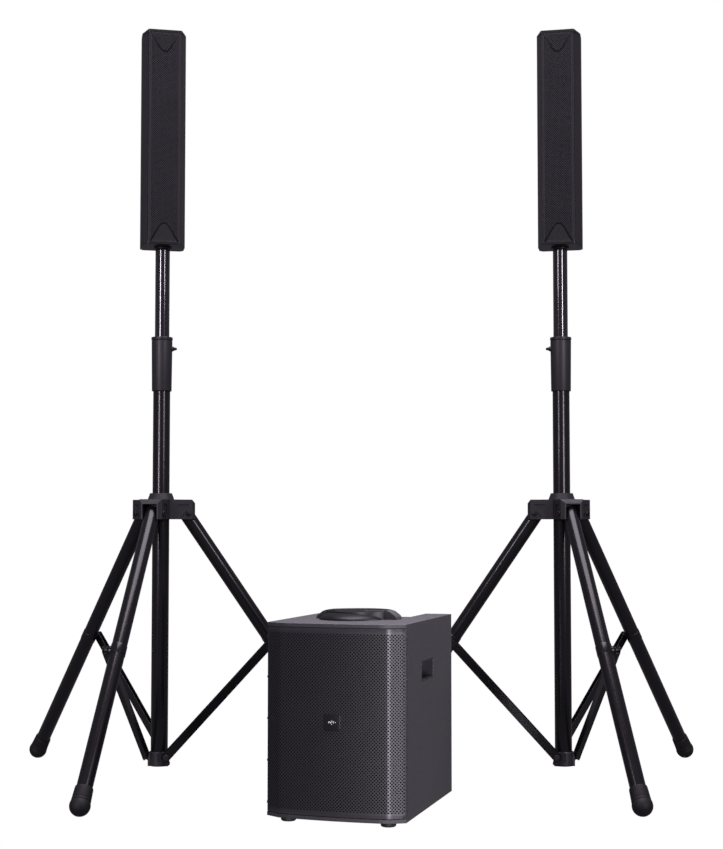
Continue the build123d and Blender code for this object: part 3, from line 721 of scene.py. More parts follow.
def boltShapes():
    centre = shift(stand["pivotRadius"], 0, pivotHeight)
    shapes = []
    for azimuth in stand["legAzimuths"]:
        headLine = [
            (0, -hub["half"]), (4.0, -hub["half"]), (4.0, hub["half"]), (6.5, hub["half"]),
            (6.5, hub["half"] + 1.2), (5.6, hub["half"] + 2.9), (3.4, hub["half"] + 3.9),
            (2.6, hub["half"] + 3.9), (2.4, hub["half"] + 1.8), (0, hub["half"] + 1.8),
        ]
        head = spun(headLine, 0.35, 2, 48)
        corners = [onCircle(6.4, 60 * step) for step in range(6)]
        nut = prism(softened(corners, 0.5, 2), -hub["half"] - 3.9, -hub["half"], 0.5)
        around = turn("Z", azimuth) @ centre @ across
        shapes += [placed(head, around), placed(nut, around)]
    return shapes


def hubKnobShapes():
    start = hub["knobStart"]
    outline = []
    for step in range(72):
        angle = math.radians(step * 5)
        lobe = 0.5 + 0.5 * math.cos(6 * angle + math.pi)
        radius = hub["knobRadius"] - 2.6 * (1 - lobe) ** 1.5
        outline.append((radius * math.cos(angle), radius * math.sin(angle)))
    grip = prism(outline, start + 3, start + 18, 1.4, 3)
    collarLine = [(0, start), (9, start), (9, start + 3.2), (0, start + 3.2)]
    collar = spun(collarLine, 0.5, 2, 48)
    dimpleLine = [(0, start + 18.0), (7.5, start + 18.0), (6.6, start + 18.5), (0, start + 18.5)]
    cap = spun(dimpleLine, 0.3, 2, 40)
    place = turn("Z", hub["knobAzimuth"]) @ shift(0, 0, hub["knobHeight"]) @ outward
    return [placed(shape, place) for shape in (grip, collar, cap)]


def hubScrewShape():
    start = hub["knobStart"]
    tip = stand["tubeRadius"] + 0.3
    outline = [(0, tip), (3.0, tip)]
    pitch = 1.25
    count = int((start - tip - 2) / pitch)
    for number in range(count):
        height = tip + 0.8 + number * pitch
        outline += [(3.5, height), (4.0, height + pitch / 2)]
    outline += [(3.6, start + 2), (0, start + 2)]
    place = turn("Z", hub["knobAzimuth"]) @ shift(0, 0, hub["knobHeight"]) @ outward
    return placed(turned(outline, 40, closed=False), place)


# Stand: legs and feet

leg = dict(overPivot=10.0, plug=40.0, braceShare=0.485, earFace=22.7, band=1.0, bandLength=24.0)
brace = dict(
    pinRadius=10.0, pinHeight=53.0, plane=29.0, depth=20.0, thick=12.0, wall=1.5, head=7.0,
    headHeight=2.5, pin=4.0,
)
foot = dict(
    ball=22.5, flat=0.8, length=63.0, cuff=19.55, flare=20.95, bore=17.35, depth=4.0,
    shoulder=0.42,
)


# In metres: the feet are cut level just above the floor.
footCut = 0.00002


def footCentre():
    return (pivotHeight - foot["ball"] + foot["flat"]) / math.cos(math.radians(legAngle))


def legShapes():
    radius = stand["legRadius"]
    end = footCentre() + foot["depth"] - 0.5
    tubeLine = [
        (0, leg["overPivot"] - 1.2), (radius - 4.0, leg["overPivot"] - 1.2),
        (radius - 3.2, leg["overPivot"]), (radius, leg["overPivot"]), (radius, -end),
        (radius - 1.5, -end), (radius - 1.5, -leg["plug"]), (0, -leg["plug"]),
    ]
    tube = spun(tubeLine, 0.7, 3, 72)
    middle = -legLength * leg["braceShare"]
    half = leg["bandLength"] / 2
    bandLine = [
        (radius - 0.3, middle - half), (radius + leg["band"], middle - half),
        (radius + leg["band"], middle + half), (radius - 0.3, middle + half),
    ]
    band = turned(softened(bandLine, 0.7), 72)
    earLine = [
        (0, -leg["earFace"]), (9.2, -leg["earFace"]), (10.0, -leg["earFace"] + 0.8),
        (10.0, -radius + 4), (0, -radius + 4),
    ]
    ear = spun(earLine, 0.4, 2, 48)
    ear = placed(ear, shift(0, 0, middle) @ across)
    return [placed(shape, onLeg) for shape in (tube, band, ear)]


def braceShapes():
    # A channel, open along its underside, with a rivet at its upper end.
    top = onLeg @ Vector((0, 0, -legLength * leg["braceShare"]))
    run = top.x - brace["pinRadius"]
    rise = top.z - brace["pinHeight"]
    length = math.hypot(run, rise)
    half = brace["depth"] / 2
    side = brace["thick"] / 2
    outline = []
    for centre, start in ((length, 0), (0, 180)):
        for step in range(17):
            x, y = onCircle(half, start + 180 * step / 16)
            outline.append((x, centre + y))
    cheeks = [prism(outline, -side, -side + brace["wall"], 0.4)]
    cheeks.append(prism(outline, side - brace["wall"], side, 0.4))
    walls = [placed(cheek, turn("X", 90)) for cheek in cheeks]
    edge = side - brace["wall"] / 2
    walls.append(slab((half - brace["wall"], -edge, 0), (half, edge, length), 0.3))
    headLine = [
        (0, -side - brace["headHeight"]), (brace["head"] * 0.55, -side - brace["headHeight"]),
        (brace["head"], -side - 0.6), (brace["head"], -side + 0.2), (brace["pin"], -side + 0.2),
        (brace["pin"], side), (0, side),
    ]
    rivet = spun(headLine, 1.0, 3, 40)
    rivet = placed(rivet, shift(0, 0, length) @ across)
    angle = math.degrees(math.atan2(run, rise))
    place = shift(brace["pinRadius"], -brace["plane"], brace["pinHeight"]) @ turn("Y", angle)
    return [placed(shape, place) for shape in walls], placed(rivet, place)


def footShape():
    ball = foot["ball"]
    high = foot["length"] - ball
    step = ball * foot["shoulder"]
    sweep = 90 + math.degrees(math.asin(foot["shoulder"]))
    outline = [(0, -foot["depth"]), (0, -ball)]
    for number in range(1, 15):
        outline.append(onCircle(ball, -90 + number * sweep / 14))
    outline += [
        (foot["flare"] + 0.1, step + 0.3), (foot["flare"] - 0.1, step + 5.0),
        (foot["flare"] - 0.9, step + 5.6), (foot["flare"] - 0.9, step + 7.0),
        (foot["flare"] - 0.3, step + 7.6), (foot["cuff"] + 0.2, high - 2.5),
        (foot["cuff"] - 0.4, high), (foot["bore"], high), (foot["bore"], -foot["depth"]),
    ]
    shape = turned(softened(outline[1:] + outline[:1], 0.35, 2), 72)
    return placed(shape, onLeg @ shift(0, 0, -footCentre()))


for side in ("left", "right"):
    place = standPlace(side)
    addSidePiece(side, "MainTube", placed(tubeShape(), place), "root", "tubePaint", "main_tube")
    addSidePiece(side, "Mast", placed(mastShape(), place), "mast", "mastPaint", "mast")
    addSidePiece(side, "Sleeve", placed(sleeveShape(), place), "root", "nylon", "sleeve")
    addSidePiece(side, "LockPin", placed(lockPinShape(), place), "lock_pin", "oxideSteel",
                 "lock_pin")
    addSidePiece(side, "Hub", cadCopy(side + "_hub", 0.9), "hub", "nylon", "hub",
                 50, True)
    addSidePiece(side, "BottomCollar", cadCopy(side + "_bottom_collar", 0.5), "root", "nylon",
                 "bottom_collar", 50, True)
    addSidePiece(side, "HubBolts", placed(gathered(boltShapes()), place), "hub", "oxideSteel",
                 "hub_bolts")
    addSidePiece(side, "HubKnob", placed(gathered(hubKnobShapes()), place), "hub_knob",
                 "softNylon", "hub_knob")
    addSidePiece(side, "HubScrew", placed(hubScrewShape(), place), "hub_knob", "oxideSteel",
                 limit=60)
    for number, azimuth in enumerate(stand["legAzimuths"], start=1):
        around = place @ turn("Z", azimuth)
        label = str(number)
        addSidePiece(side, "Leg" + label, placed(gathered(legShapes()), around), "leg_" + label,
                     "tubePaint", "leg_" + label)
        floored = keptSide(placed(footShape(), around), (0, 0, footCut), (0, 0, 1))
        addSidePiece(side, "Foot" + label, floored, "leg_" + label, "rubber", "foot_" + label)
        channel, rivet = braceShapes()
        addSidePiece(side, "Brace" + label, placed(gathered(channel), around),
                     "brace_" + label, "tubePaint", "brace_" + label, 40, True)
        addSidePiece(side, "BraceRivet" + label, placed(rivet, around), "brace_" + label,
                     "oxideSteel")
print("stands made")


# Perforated sheets: a grid turned by 45 degrees, with a round hole at each crossing


# The bevel profile that leaves a round hole at a crossing.
roundHole = 0.086


def perforated(width, height, pitch, hole, margin):
    shape = bmesh.new()
    reach = (width + height) / math.sqrt(2) / 2 + pitch
    cells = int(2 * reach / pitch) + 1
    bmesh.ops.create_grid(shape, x_segments=cells, y_segments=cells, size=cells * pitch / 2)
    shape.transform(turn("Z", 45))
    halves = ((width / 2, (1, 0, 0)), (height / 2, (0, 1, 0)))
    for half, axis in halves:
        for sign in (-1, 1):
            normal = Vector(axis) * sign
            cutAway(shape, normal * half, normal, clear_outer=True)
    inside = [
        vert
        for vert in shape.verts
        if abs(vert.co.x) < width / 2 - margin and abs(vert.co.y) < height / 2 - margin
    ]
    holes = bmesh.ops.bevel(
        shape, geom=inside, offset=hole / 2, offset_type="OFFSET", segments=2,
        profile=roundHole, affect="VERTICES", clamp_overlap=False, material=-1,
    )
    bmesh.ops.delete(shape, geom=holes["faces"], context="FACES")
    return shape


def thickened(shape, thickness):
    bmesh.ops.solidify(shape, geom=list(shape.faces), thickness=thickness)
    return shape


# Column speakers

column = dict(
    low=1286.0, height=528.0, cap=8.0, front=-45.0, gap=0.25, halfWidth=39.0, rail=3.2,
    pitch=4.0, hole=2.7, sheet=0.9, trimSpan=67.0, trimApex=58.0, trimRound=31.0,
    trimWidth=4.6, width=107.0, frontHalf=40.0, back=45.0, wall=3.0, capProud=0.8,
)
driver = dict(
    count=6, od=70.0, board=74.0, hole=60.0, depth=15.0, magnet=40.0, lip=3.0,
)
driverLooks = (
    ("Cone", "conePulp", ""),
    ("Roll", "surroundFoam", ""),
    ("Cap", "dustCap", ""),
    ("Frame", "motorSteel", "column_drivers"),
)
facingFront = turn("X", 90)


def columnHeights():
    low = column["low"] + column["cap"]
    high = column["low"] + column["height"] - column["cap"]
    return low, high


def columnSheet():
    low, high = columnHeights()
    width = 2 * (column["halfWidth"] - column["rail"]) + 1
    sheet = perforated(width, high - low, column["pitch"], column["hole"], 2.4)
    sheet = thickened(sheet, -column["sheet"])
    middle = (low + high) / 2
    return placed(sheet, shift(0, column["front"] + column["gap"], middle) @ facingFront)


def columnRails():
    low, high = columnHeights()
    rails = []
    for sign in (-1, 1):
        inner = sign * (column["halfWidth"] - column["rail"])
        outer = sign * column["halfWidth"]
        outline = [
            (inner, column["front"] + 2), (inner, column["front"]), (outer, column["front"]),
            (outer, column["front"] + 2),
        ]
        rails.append(prism(softened(outline, 1.2, 4), low + 0.2, high - 0.2))
    return rails


# A black foam sheet just behind the grille; besides being a backing, it paints the shade seen
# through the holes and hides the drivers.
def columnCloth():
    low, high = columnHeights()
    half = column["halfWidth"] - column["rail"] + 0.5
    return slab(
        (-half, column["front"] + 1.35, low + 0.5), (half, column["front"] + 1.95, high - 0.5), 0
    )


def trimLine():
    # An arch on the end of the grille, from its foot on the left to its foot on the right.
    half = column["trimSpan"] / 2
    corners = [(-half, 0), (0, column["trimApex"]), (half, 0)]
    return softened(corners, column["trimRound"], 12, closed=False)


def widened(line, width):
    sides = ([], [])
    for index, point in enumerate(line):
        before = line[max(index - 1, 0)]
        after = line[min(index + 1, len(line) - 1)]
        along = (after - before).normalized()
        sideways = Vector((-along.y, along.x)) * width / 2
        sides[0].append(point + sideways)
        sides[1].append(point - sideways)
    return sides[0] + sides[1][::-1]


def onFront(shape, upward):
    low, high = columnHeights()
    if upward:
        return placed(shape, shift(0, 0, low) @ facingFront)
    return placed(shape, shift(0, 0, high) @ Matrix.Diagonal((1, 1, -1, 1)) @ facingFront)


def endTrim(upward):
    front = -column["front"]
    outline = widened(trimLine(), column["trimWidth"])
    return onFront(prism(outline, front - 0.8, front + 1.1, 0.3, 2), upward)


def archPlate():
    front = -column["front"]
    return onFront(prism(trimLine(), front - 0.6, front + 0.1), True)


def columnPlan(front, inset=0.0):
    # Half of the plan, from the front corner round to the back.
    half = column["width"] / 2 - inset
    return [
        (column["frontHalf"] - inset, front + inset), (half, column["front"] + 40),
        (half, column["back"] - 10), (half - 8, column["back"] - inset),
    ]


def capShape(low, high):
    half = columnPlan(column["front"] - column["capProud"])
    outline = [(-x, y) for x, y in reversed(half)] + half
    return prism(softened(outline, 3.2, 6), low, high, 1.0, 3)


def housingShell():
    low, high = columnHeights()
    half = columnPlan(column["front"] + 2, column["wall"] / 2)
    line = half + [(-x, y) for x, y in reversed(half)]
    line = softened(line, 3.0, 5, closed=False)
    return prism(widened(line, column["wall"]), low, high)


def holedPlate(width, height, hole, low, high):
    shape = bmesh.new()
    corners = [
        Vector((-width, -height)) / 2,
        Vector((width, -height)) / 2,
        Vector((width, height)) / 2,
        Vector((-width, height)) / 2,
    ]
    outline = []
    for before, after in zip(corners, corners[1:] + corners[:1]):
        outline += [before.lerp(after, step / 12) for step in range(12)]
    edges = []
    for ring in (outline, [point.normalized() * hole for point in outline]):
        verts = [shape.verts.new((point.x, point.y, low)) for point in ring]
        edges += [shape.edges.new((verts[i - 1], verts[i])) for i in range(len(verts))]
    return raised(shape, bmesh.ops.bridge_loops(shape, edges=edges)["faces"], high - low)


def housingBoards():
    low, high = columnHeights()
    pitch = (high - low) / driver["count"]
    front = -column["front"] - 2
    boards = []
    for number in range(driver["count"]):
        back = front - column["wall"]
        board = holedPlate(driver["board"], pitch, driver["hole"] / 2, back, front)
        boards.append(placed(board, shift(0, 0, low + pitch * (number + 0.5)) @ facingFront))
    return boards


def columnCaps():
    low, high = columnHeights()
    return [capShape(column["low"], low), capShape(high, column["low"] + column["height"])]


def driverShapes():
    low, high = columnHeights()
    pitch = (high - low) / driver["count"]
    edge = driver["hole"] / 2 - 3
    back = column["front"] + 5.0
    frameLine = [
        (edge, 0.1), (driver["od"] / 2 - 1, 0.1), (driver["od"] / 2 - 1, driver["lip"]),
        (edge, driver["lip"]), (driver["magnet"] / 2 + 2, 9), (driver["magnet"] / 2, 9.4),
        (driver["magnet"] / 2, driver["depth"]), (0, driver["depth"]), (0, 7.2),
    ]
    coneLine = [(0, 6.6), (8, 6.6), (8.4, 6.1), (edge - 6.5, 1.2), (edge - 6.5, 2.0), (8, 7.2)]
    rollLine = [
        (edge - 7, 1.4), (edge - 6, 0.2), (edge - 4, -0.8), (edge - 2, -0.8), (edge - 0.3, 0.3),
        (edge - 0.3, 1.2), (edge - 4, 0.4),
    ]
    capLine = [(0, 3.4), (4, 3.9), (7, 5.2), (8.6, 6.6), (8, 7), (0, 7)]
    families = {"Frame": [], "Cone": [], "Roll": [], "Cap": []}
    for number in range(driver["count"]):
        place = shift(0, back, low + pitch * (number + 0.5)) @ across
        families["Frame"].append(placed(turned(softened(frameLine, 0.3, 2), 48), place))
        families["Cone"].append(placed(turned(coneLine, 48), place))
        families["Roll"].append(placed(turned(softened(rollLine, 0.8, 2), 48), place))
        families["Cap"].append(placed(turned(softened(capLine, 0.8, 2), 32), place))
    return families


def socketShape():
    bore = stand["mastRadius"] + 0.05
    outer = bore + 2.4
    flange = outer + 1.5
    low = column["low"]
    roof = low + 60.3
    outline = [
        (bore, low - 4), (flange, low - 4), (flange, low), (outer, low), (outer, roof + 4),
        (0, roof + 4), (0, roof), (bore, roof),
    ]
    return turned(softened(outline, 0.4, 2), 72)


for side in ("left", "right"):
    place = standPlace(side) @ turn("Z", stand["columnToeIn"])
    trims = gathered([endTrim(True), endTrim(False)])
    box = gathered([housingShell()] + housingBoards())
    addSidePiece(side, "ColumnGrille", placed(columnSheet(), place), "column", "grillePaint",
                 "column_grille")
    addSidePiece(side, "ColumnRails", placed(gathered(columnRails()), place), "column",
                 "grilleRail")
    addSidePiece(side, "ColumnCloth", placed(columnCloth(), place), "column", "acousticFoam",
                 limit=50)
    addSidePiece(side, "ColumnArch", placed(archPlate(), place), "column", "archPlastic",
                 limit=50)
    addSidePiece(side, "ColumnTrims", placed(trims, place), "column", "glossTrim")
    addSidePiece(side, "ColumnHousing", placed(box, place), "column", "shellPlastic",
                 "column_housing", 40, True)
    addSidePiece(side, "ColumnEndCaps", placed(gathered(columnCaps()), place), "column",
                 "capPlastic", "column_end_caps", 40, True)
    addSidePiece(side, "ColumnSocket", placed(socketShape(), place), "column", "alloyPaint",
                 "column_socket")
    families = driverShapes()
    for part, look, node in driverLooks:
        addSidePiece(side, "Driver" + part + "s", placed(gathered(families[part]), place),
                     "column", look, node)
print("columns made")


# Subwoofer places, from the mixer knobs' axes

knobSpots = {"channel_knob_1": -50.0, "channel_knob_2": -14.0, "master_knob": 24.0}
panelMiddle = 321.5
panelLength = 166.07
knobRow = panelLength * 0.17


def panelFrame():
    first = Vector(joints["channel_knob_1_turn"]["pos_m"])
    last = Vector(joints["master_knob_turn"]["pos_m"])
    right = (last - first).normalized()
    normal = Vector(joints["master_knob_turn"]["axis"]).normalized()
    up = normal.cross(right).normalized()
    origin = first - right * knobSpots["channel_knob_1"] * mm - up * knobRow * mm
    turned3 = Matrix((right, up, normal)).transposed().to_4x4()
    return Matrix.Translation(origin) @ turned3 @ Matrix.Diagonal((mm, mm, mm, 1))


def cabinetFrame():
    place = panelFrame()
    right = (place.to_3x3() @ Vector((1, 0, 0))).normalized()
    back = Vector((-right.y, right.x, 0)).normalized()
    origin = place.translation - back * panelMiddle * mm
    turned3 = Matrix((right, back, Vector((0, 0, 1)))).transposed().to_4x4()
    return shift(origin.x, origin.y, 0) @ turned3 @ Matrix.Diagonal((mm, mm, mm, 1))


cabinetPlace = cabinetFrame()
panelPlace = panelFrame()

cabinet = dict(
    width=298.0, low=11.0, height=396.0, lip=8.0, facet=32.0, setBack=18.0,
    crown=25.0, wrap=9.0, gap=1.0, pitch=5.0, hole=3.5, strip=8.0, badge=35.0,
    screwPitch=85.5, footInset=42.0, footRows=(15.0, 340.0),
)


def bowPath():
    # The sheet's line in plan, from the left wrap to the right one.
    half = cabinet["width"] / 2
    fold = half - cabinet["facet"]
    rise = cabinet["crown"] - cabinet["setBack"]
    radius = (fold**2 + rise**2) / (2 * rise)
    arc = []
    for step in range(25):
        x = -fold + 2 * fold * step / 24
        arc.append((x, -cabinet["crown"] + radius - math.sqrt(radius**2 - x**2)))
    ends = [(-half, cabinet["wrap"]), (-half, 0)]
    points = ends + arc + [(half, 0), (half, cabinet["wrap"])]
    return softened(points, 3.5, 3, closed=False)


def alongPath(path):
    lengths = [0.0]
    for before, after in zip(path, path[1:]):
        lengths.append(lengths[-1] + (after - before).length)
    return lengths


def pointOnPath(path, lengths, distance):
    index = 1
    while index < len(path) - 1 and lengths[index] < distance:
        index += 1
    span = lengths[index] - lengths[index - 1]
    share = (distance - lengths[index - 1]) / span
    direction = (path[index] - path[index - 1]).normalized()
    return path[index - 1].lerp(path[index], share), Vector((direction.y, -direction.x))


def addCabinetPiece(name, shape, look, node="", limit=40, even=False):
    nodes = [node] if node else ()
    shape = placed(shape, cabinetPlace)
    return addPiece(name, shape, "root", look, nodes, limit, even)


def ribbon(low, high, inset, thickness, start, end, edge=0.0):
    # A strip of the bow between two distances along it.
    path = bowPath()
    lengths = alongPath(path)
    total = lengths[-1]
    steps = 60
    outer = []
    inner = []
    for step in range(steps + 1):
        distance = start + (total - start - end) * step / steps
        spot, normal = pointOnPath(path, lengths, distance)
        outer.append(spot - normal * inset)
        inner.append(spot - normal * (inset + thickness))
    return prism(outer + inner[::-1], low, high, edge, 2)


# How far the sheet goes in behind the strips around it.
tuck = 1.5


def grilleHeights():
    inset = cabinet["lip"] + cabinet["gap"]
    return cabinet["low"] + inset, cabinet["low"] + cabinet["height"] - inset


def subSheet():
    path = bowPath()
    lengths = alongPath(path)
    total = lengths[-1]
    low, high = grilleHeights()
    low += cabinet["strip"] - tuck
    high -= cabinet["strip"] - tuck
    inset = cabinet["wrap"] + tuck
    width = total - 2 * inset
    sheet = perforated(width, high - low, cabinet["pitch"], cabinet["hole"], 3.2)
    middle = (low + high) / 2
    for vert in sheet.verts:
        spot, normal = pointOnPath(path, lengths, vert.co.x + total / 2)
        spot = spot - normal * 0.5
        vert.co = Vector((spot.x, spot.y, vert.co.y + middle))
    bmesh.ops.recalc_face_normals(sheet, faces=sheet.faces)
    facing = sum(face.normal.y * face.calc_area() for face in sheet.faces)
    if facing > 0:
        bmesh.ops.reverse_faces(sheet, faces=sheet.faces)
    return thickened(sheet, -0.9)


def grilleStrips():
    low, high = grilleHeights()
    strips = [
        ribbon(low, low + cabinet["strip"], 0, 1.5, 3, 3, 0.35),
        ribbon(high - cabinet["strip"], high, 0, 1.5, 3, 3, 0.35),
    ]
    total = alongPath(bowPath())[-1]
    flange = cabinet["wrap"] + 3
    strips.append(ribbon(low, high, 0.05, 1.4, 0, total - flange, 0.3))
    strips.append(ribbon(low, high, 0.05, 1.4, total - flange, 0, 0.3))
    return strips


def badgeShapes():
    half = cabinet["badge"] / 2
    middle = cabinet["low"] + cabinet["height"] / 2
    plate = prism(roundedSquare(half, 6), cabinet["crown"] - 0.6, cabinet["crown"] + 2, 0.5, 3)
    marks = []
    for number, length in enumerate((3, 6, 10, 5, 3)):
        x = (number - 2) * 3.6
        end = length / 2
        corners = [(x - 0.7, -end), (x + 0.7, -end), (x + 0.7, end), (x - 0.7, end)]
        outline = softened(corners, 0.6, 4)
        marks.append(prism(outline, cabinet["crown"] + 1.9, cabinet["crown"] + 2.35, 0.12, 1))
    place = shift(0, 0, middle) @ facingFront
    return placed(plate, place), placed(gathered(marks), place)


def screwShape(radius, height):
    # A screw head with a round recess, facing +Z.
    headLine = [
        (0, -1), (radius, -1), (radius, height * 0.35), (radius * 0.7, height * 0.85),
        (radius * 0.34, height), (radius * 0.28, height * 0.2), (0, height * 0.2),
    ]
    return spun(headLine, 0.2, 2, 28)


def sideScrews():
    half = cabinet["width"] / 2
    middle = cabinet["low"] + cabinet["height"] / 2
    screws = []
    for sign in (-1, 1):
        for number in range(5):
            height = middle + (number - 2) * cabinet["screwPitch"]
            place = shift(sign * half, cabinet["wrap"] / 2, height) @ turn("Y", 90 * sign)
            screws.append(placed(screwShape(3.0, 1.5), place))
    return screws


addCabinetPiece("subGrilleSheet", subSheet(), "cabinetGrille", "sub_grille")
addCabinetPiece("subGrilleStrips", gathered(grilleStrips()), "grilleRail", "", 50,
                True)
# Black foam just behind the sheet, which also paints the shade seen through the holes and hides
# the woofer.
addCabinetPiece("subGrilleFoam", ribbon(22, 396, 1.9, 1.2, 12, 12), "acousticFoam", limit=50)
badgePlate, badgeMark = badgeShapes()
addCabinetPiece("subBadge", badgePlate, "badgePlate", "")
addCabinetPiece("subBadgeMark", badgeMark, "badgeMark", limit=50)
addCabinetPiece("subGrilleScrews", gathered(sideScrews()), "screwSteel", "")
addPiece("subCabinet", cadCopy("sub_cabinet", 1.3, 3), "root", "cabinetPaint", ["sub_cabinet"],
         50, True)
addPiece("subBaffle", cadCopy("sub_baffle", 0.6), "root", "bareBoard", ["sub_baffle"],
         50, True)


# Top handle: a surround in the cabinet's paint, a well with its bar, and a dark hood over the
# front half, whose dark plastic against the grey surround is painted shade on the dome's front
# wall

handle = dict(
    centre=160.0, rim=92.0, well=68.0, wall=4.0, depth=40.0, crown=20.0, hood=70.0,
    hoodBack=22.0, hoodSide=-9.0, hoodEnd=-10.0, openFront=-22.0, barWidth=34.0,
    barThick=14.0,
)


def handleSurround():
    outline = [
        (handle["well"] - 1, -1), (handle["rim"], -1), (handle["rim"], 3),
        (handle["rim"] - 3, 8), (handle["well"] + 10, 16.5),
        (handle["well"] + 2, handle["crown"] - 1), (handle["well"] - 1, handle["crown"] - 1),
    ]
    ring = turned(softened(outline, 2.0), 96)
    return keptSide(ring, (0, handle["openFront"], 0), (0, 1, 0))


# The dark hood over the front half paints the shade of the dome's front wall, while the rear keeps
# the lit grey of the surround.
def handleHood():
    lines = []
    for thinner in (0, handle["wall"]):
        reach = handle["hood"] - thinner
        crown = handle["crown"] - thinner
        angles = [math.radians(6 * step) for step in range(15)]
        line = [(reach * math.cos(angle), crown * math.sin(angle)) for angle in angles]
        lines.append(line + [(0, crown)])
    hood = turned(lines[0] + lines[1][::-1], 96)
    hood = placed(hood, shift(handle["hoodSide"], -handle["hoodBack"], 0))
    return keptSide(hood, (0, handle["hoodEnd"], 0), (0, -1, 0))


def handleWell():
    well = handle["well"]
    deep = -handle["depth"]
    outline = [
        (0, deep), (well, deep), (well, handle["crown"] - 2),
        (well - handle["wall"], handle["crown"] - 2),
        (well - handle["wall"], deep + handle["wall"]), (0, deep + handle["wall"]),
    ]
    return spun(outline, 1.2, 3, 96)


def handleBar():
    half = handle["barWidth"] / 2
    reach = handle["well"] - 2
    low = handle["crown"] - handle["barThick"]
    return slab((-reach, -half, low), (reach, half, handle["crown"]), 5, 4)


onTop = shift(0, handle["centre"], cabinet["low"] + cabinet["height"])
handleParts = gathered([handleWell(), handleBar(), handleHood()])
addCabinetPiece("topHandle", placed(handleParts, onTop), "softNylon", "top_handle", 50)
addCabinetPiece("handleSurround", placed(handleSurround(), onTop), "cabinetPaint", limit=50)
addPiece("sideCups", cadCopy("side_cups", 0.8), "root", "softNylon", ["side_cups"],
         50, True)


# Woofer, facing the front

woofer = dict(
    front=15.0, centre=247.0, rim=128.0, throat=115.0, magnet=70.0, depth=95.0,
    screwCircle=121.5,
)


def basketShape():
    outline = [
        (woofer["rim"], 0), (woofer["rim"], 5), (woofer["throat"], 5), (woofer["throat"], 17),
        (woofer["magnet"], woofer["depth"]), (woofer["magnet"], woofer["depth"] + 40),
        (0, woofer["depth"] + 40), (0, woofer["depth"] - 4),
        (woofer["magnet"] - 12, woofer["depth"] - 4), (woofer["throat"] - 4, 13),
        (woofer["throat"] - 4, 0),
    ]
    return turned(softened(outline, 0.8, 2), 96)


def wooferShapes():
    edge = woofer["throat"] - 4.3
    rollLine = [
        (edge, 1.2), (edge, 3), (edge - 22, 4.6), (edge - 23, 2.2), (edge - 20, 0.5),
        (edge - 16, -2), (edge - 11, -3), (edge - 6, -2), (edge - 2, 0.4),
    ]
    coneLine = [(edge - 21, 2.4), (edge - 21, 4.4), (32, 60), (30, 58)]
    for number in range(8):
        radius = 34 + number * 7
        depth = 57 - (radius - 30) * 0.99
        coneLine += [(radius - 1, depth), (radius, depth - 1.8), (radius + 1, depth - 2)]
    capLine = [(0, 44), (12, 45), (24, 49), (33, 56), (31, 58), (0, 58)]
    return {
        "Surround": turned(softened(rollLine, 2, 3), 96),
        "Cone": turned(coneLine, 96),
        "DustCap": turned(softened(capLine, 3, 3), 72),
    }


def basketScrews():
    screws = []
    for number in range(8):
        spot = shift(*onCircle(woofer["screwCircle"], 22.5 + 45 * number)) @ turn("X", 180)
        screws.append(placed(screwShape(3.2, 1.6), spot))
    return screws


onBaffle = shift(0, woofer["front"], woofer["centre"]) @ across
wooferParts = wooferShapes()
for name, shape, look, node, slot in (
    ("Basket", basketShape(), "alloyPaint", "woofer_basket", "alloy"),
    ("Screws", gathered(basketScrews()), "screwSteel", "", "black_steel"),
    ("Cone", wooferParts["Cone"], "conePulp", "woofer_cone", "cone_pulp"),
    ("Surround", wooferParts["Surround"], "surroundFoam", "", "cone_pulp"),
    ("DustCap", wooferParts["DustCap"], "dustCap", "", "cone_pulp"),
):
    addCabinetPiece("woofer" + name, placed(shape, onBaffle), look, node)


# Cabinet feet


def cabinetFeet():
    feet = []
    high = cabinet["low"]
    outline = [(0, 0.8), (4.5, 0.8), (5, 0), (13.5, 0), (15.6, 2), (16, 4), (16, high), (0, high)]
    half = cabinet["width"] / 2 - cabinet["footInset"]
    for x in (-half, half):
        for y in cabinet["footRows"]:
            shape = spun(outline, 0.5, 2, 48)
            feet.append(placed(shape, shift(x, y, 0)))
    return feet


addCabinetPiece("cabinetFeet", gathered(cabinetFeet()), "rubber", "sub_feet")
print("subwoofer made")


# Mixer panel: plate, print, screws, sockets, knobs and switch

panel = dict(
    socketRow=-panelLength * 0.17, jack=12.5, jackSpots=(-62, -32, 0, 28), switchX=60.0,
    inletX=64, knobRadius=10.0,
)


def panelPrint():
    marks = []
    high = 0.06
    for x in knobSpots.values():
        for step in range(11):
            outer = 14.2 if step % 5 else 15.4
            tick = slab((12.2, -0.3, 0), (outer, 0.3, high), 0)
            marks.append(placed(tick, shift(x, knobRow, 0) @ turn("Z", -50 + step * 28)))
        line = slab((x - 9, knobRow + 19, 0), (x + 9, knobRow + 19.7, high), 0)
        marks.append(line)
    for x in (*panel["jackSpots"], panel["inletX"]):
        width = 13 if x == panel["inletX"] else 9
        low = panel["socketRow"] + 17.5
        marks.append(slab((x - width, low, 0), (x + width, low + 0.6, high), 0))
    for y in (-3.0, 56.0):
        marks.append(slab((-80, y, 0), (80, y + 0.4, high), 0))
    return marks


def panelScrews():
    spots = [(-83, 55), (83, 55), (-83, -50), (83, -50), (-83, 2), (83, 2)]
    return [placed(screwShape(2.8, 1.2), shift(x, y, 0.1)) for x, y in spots]


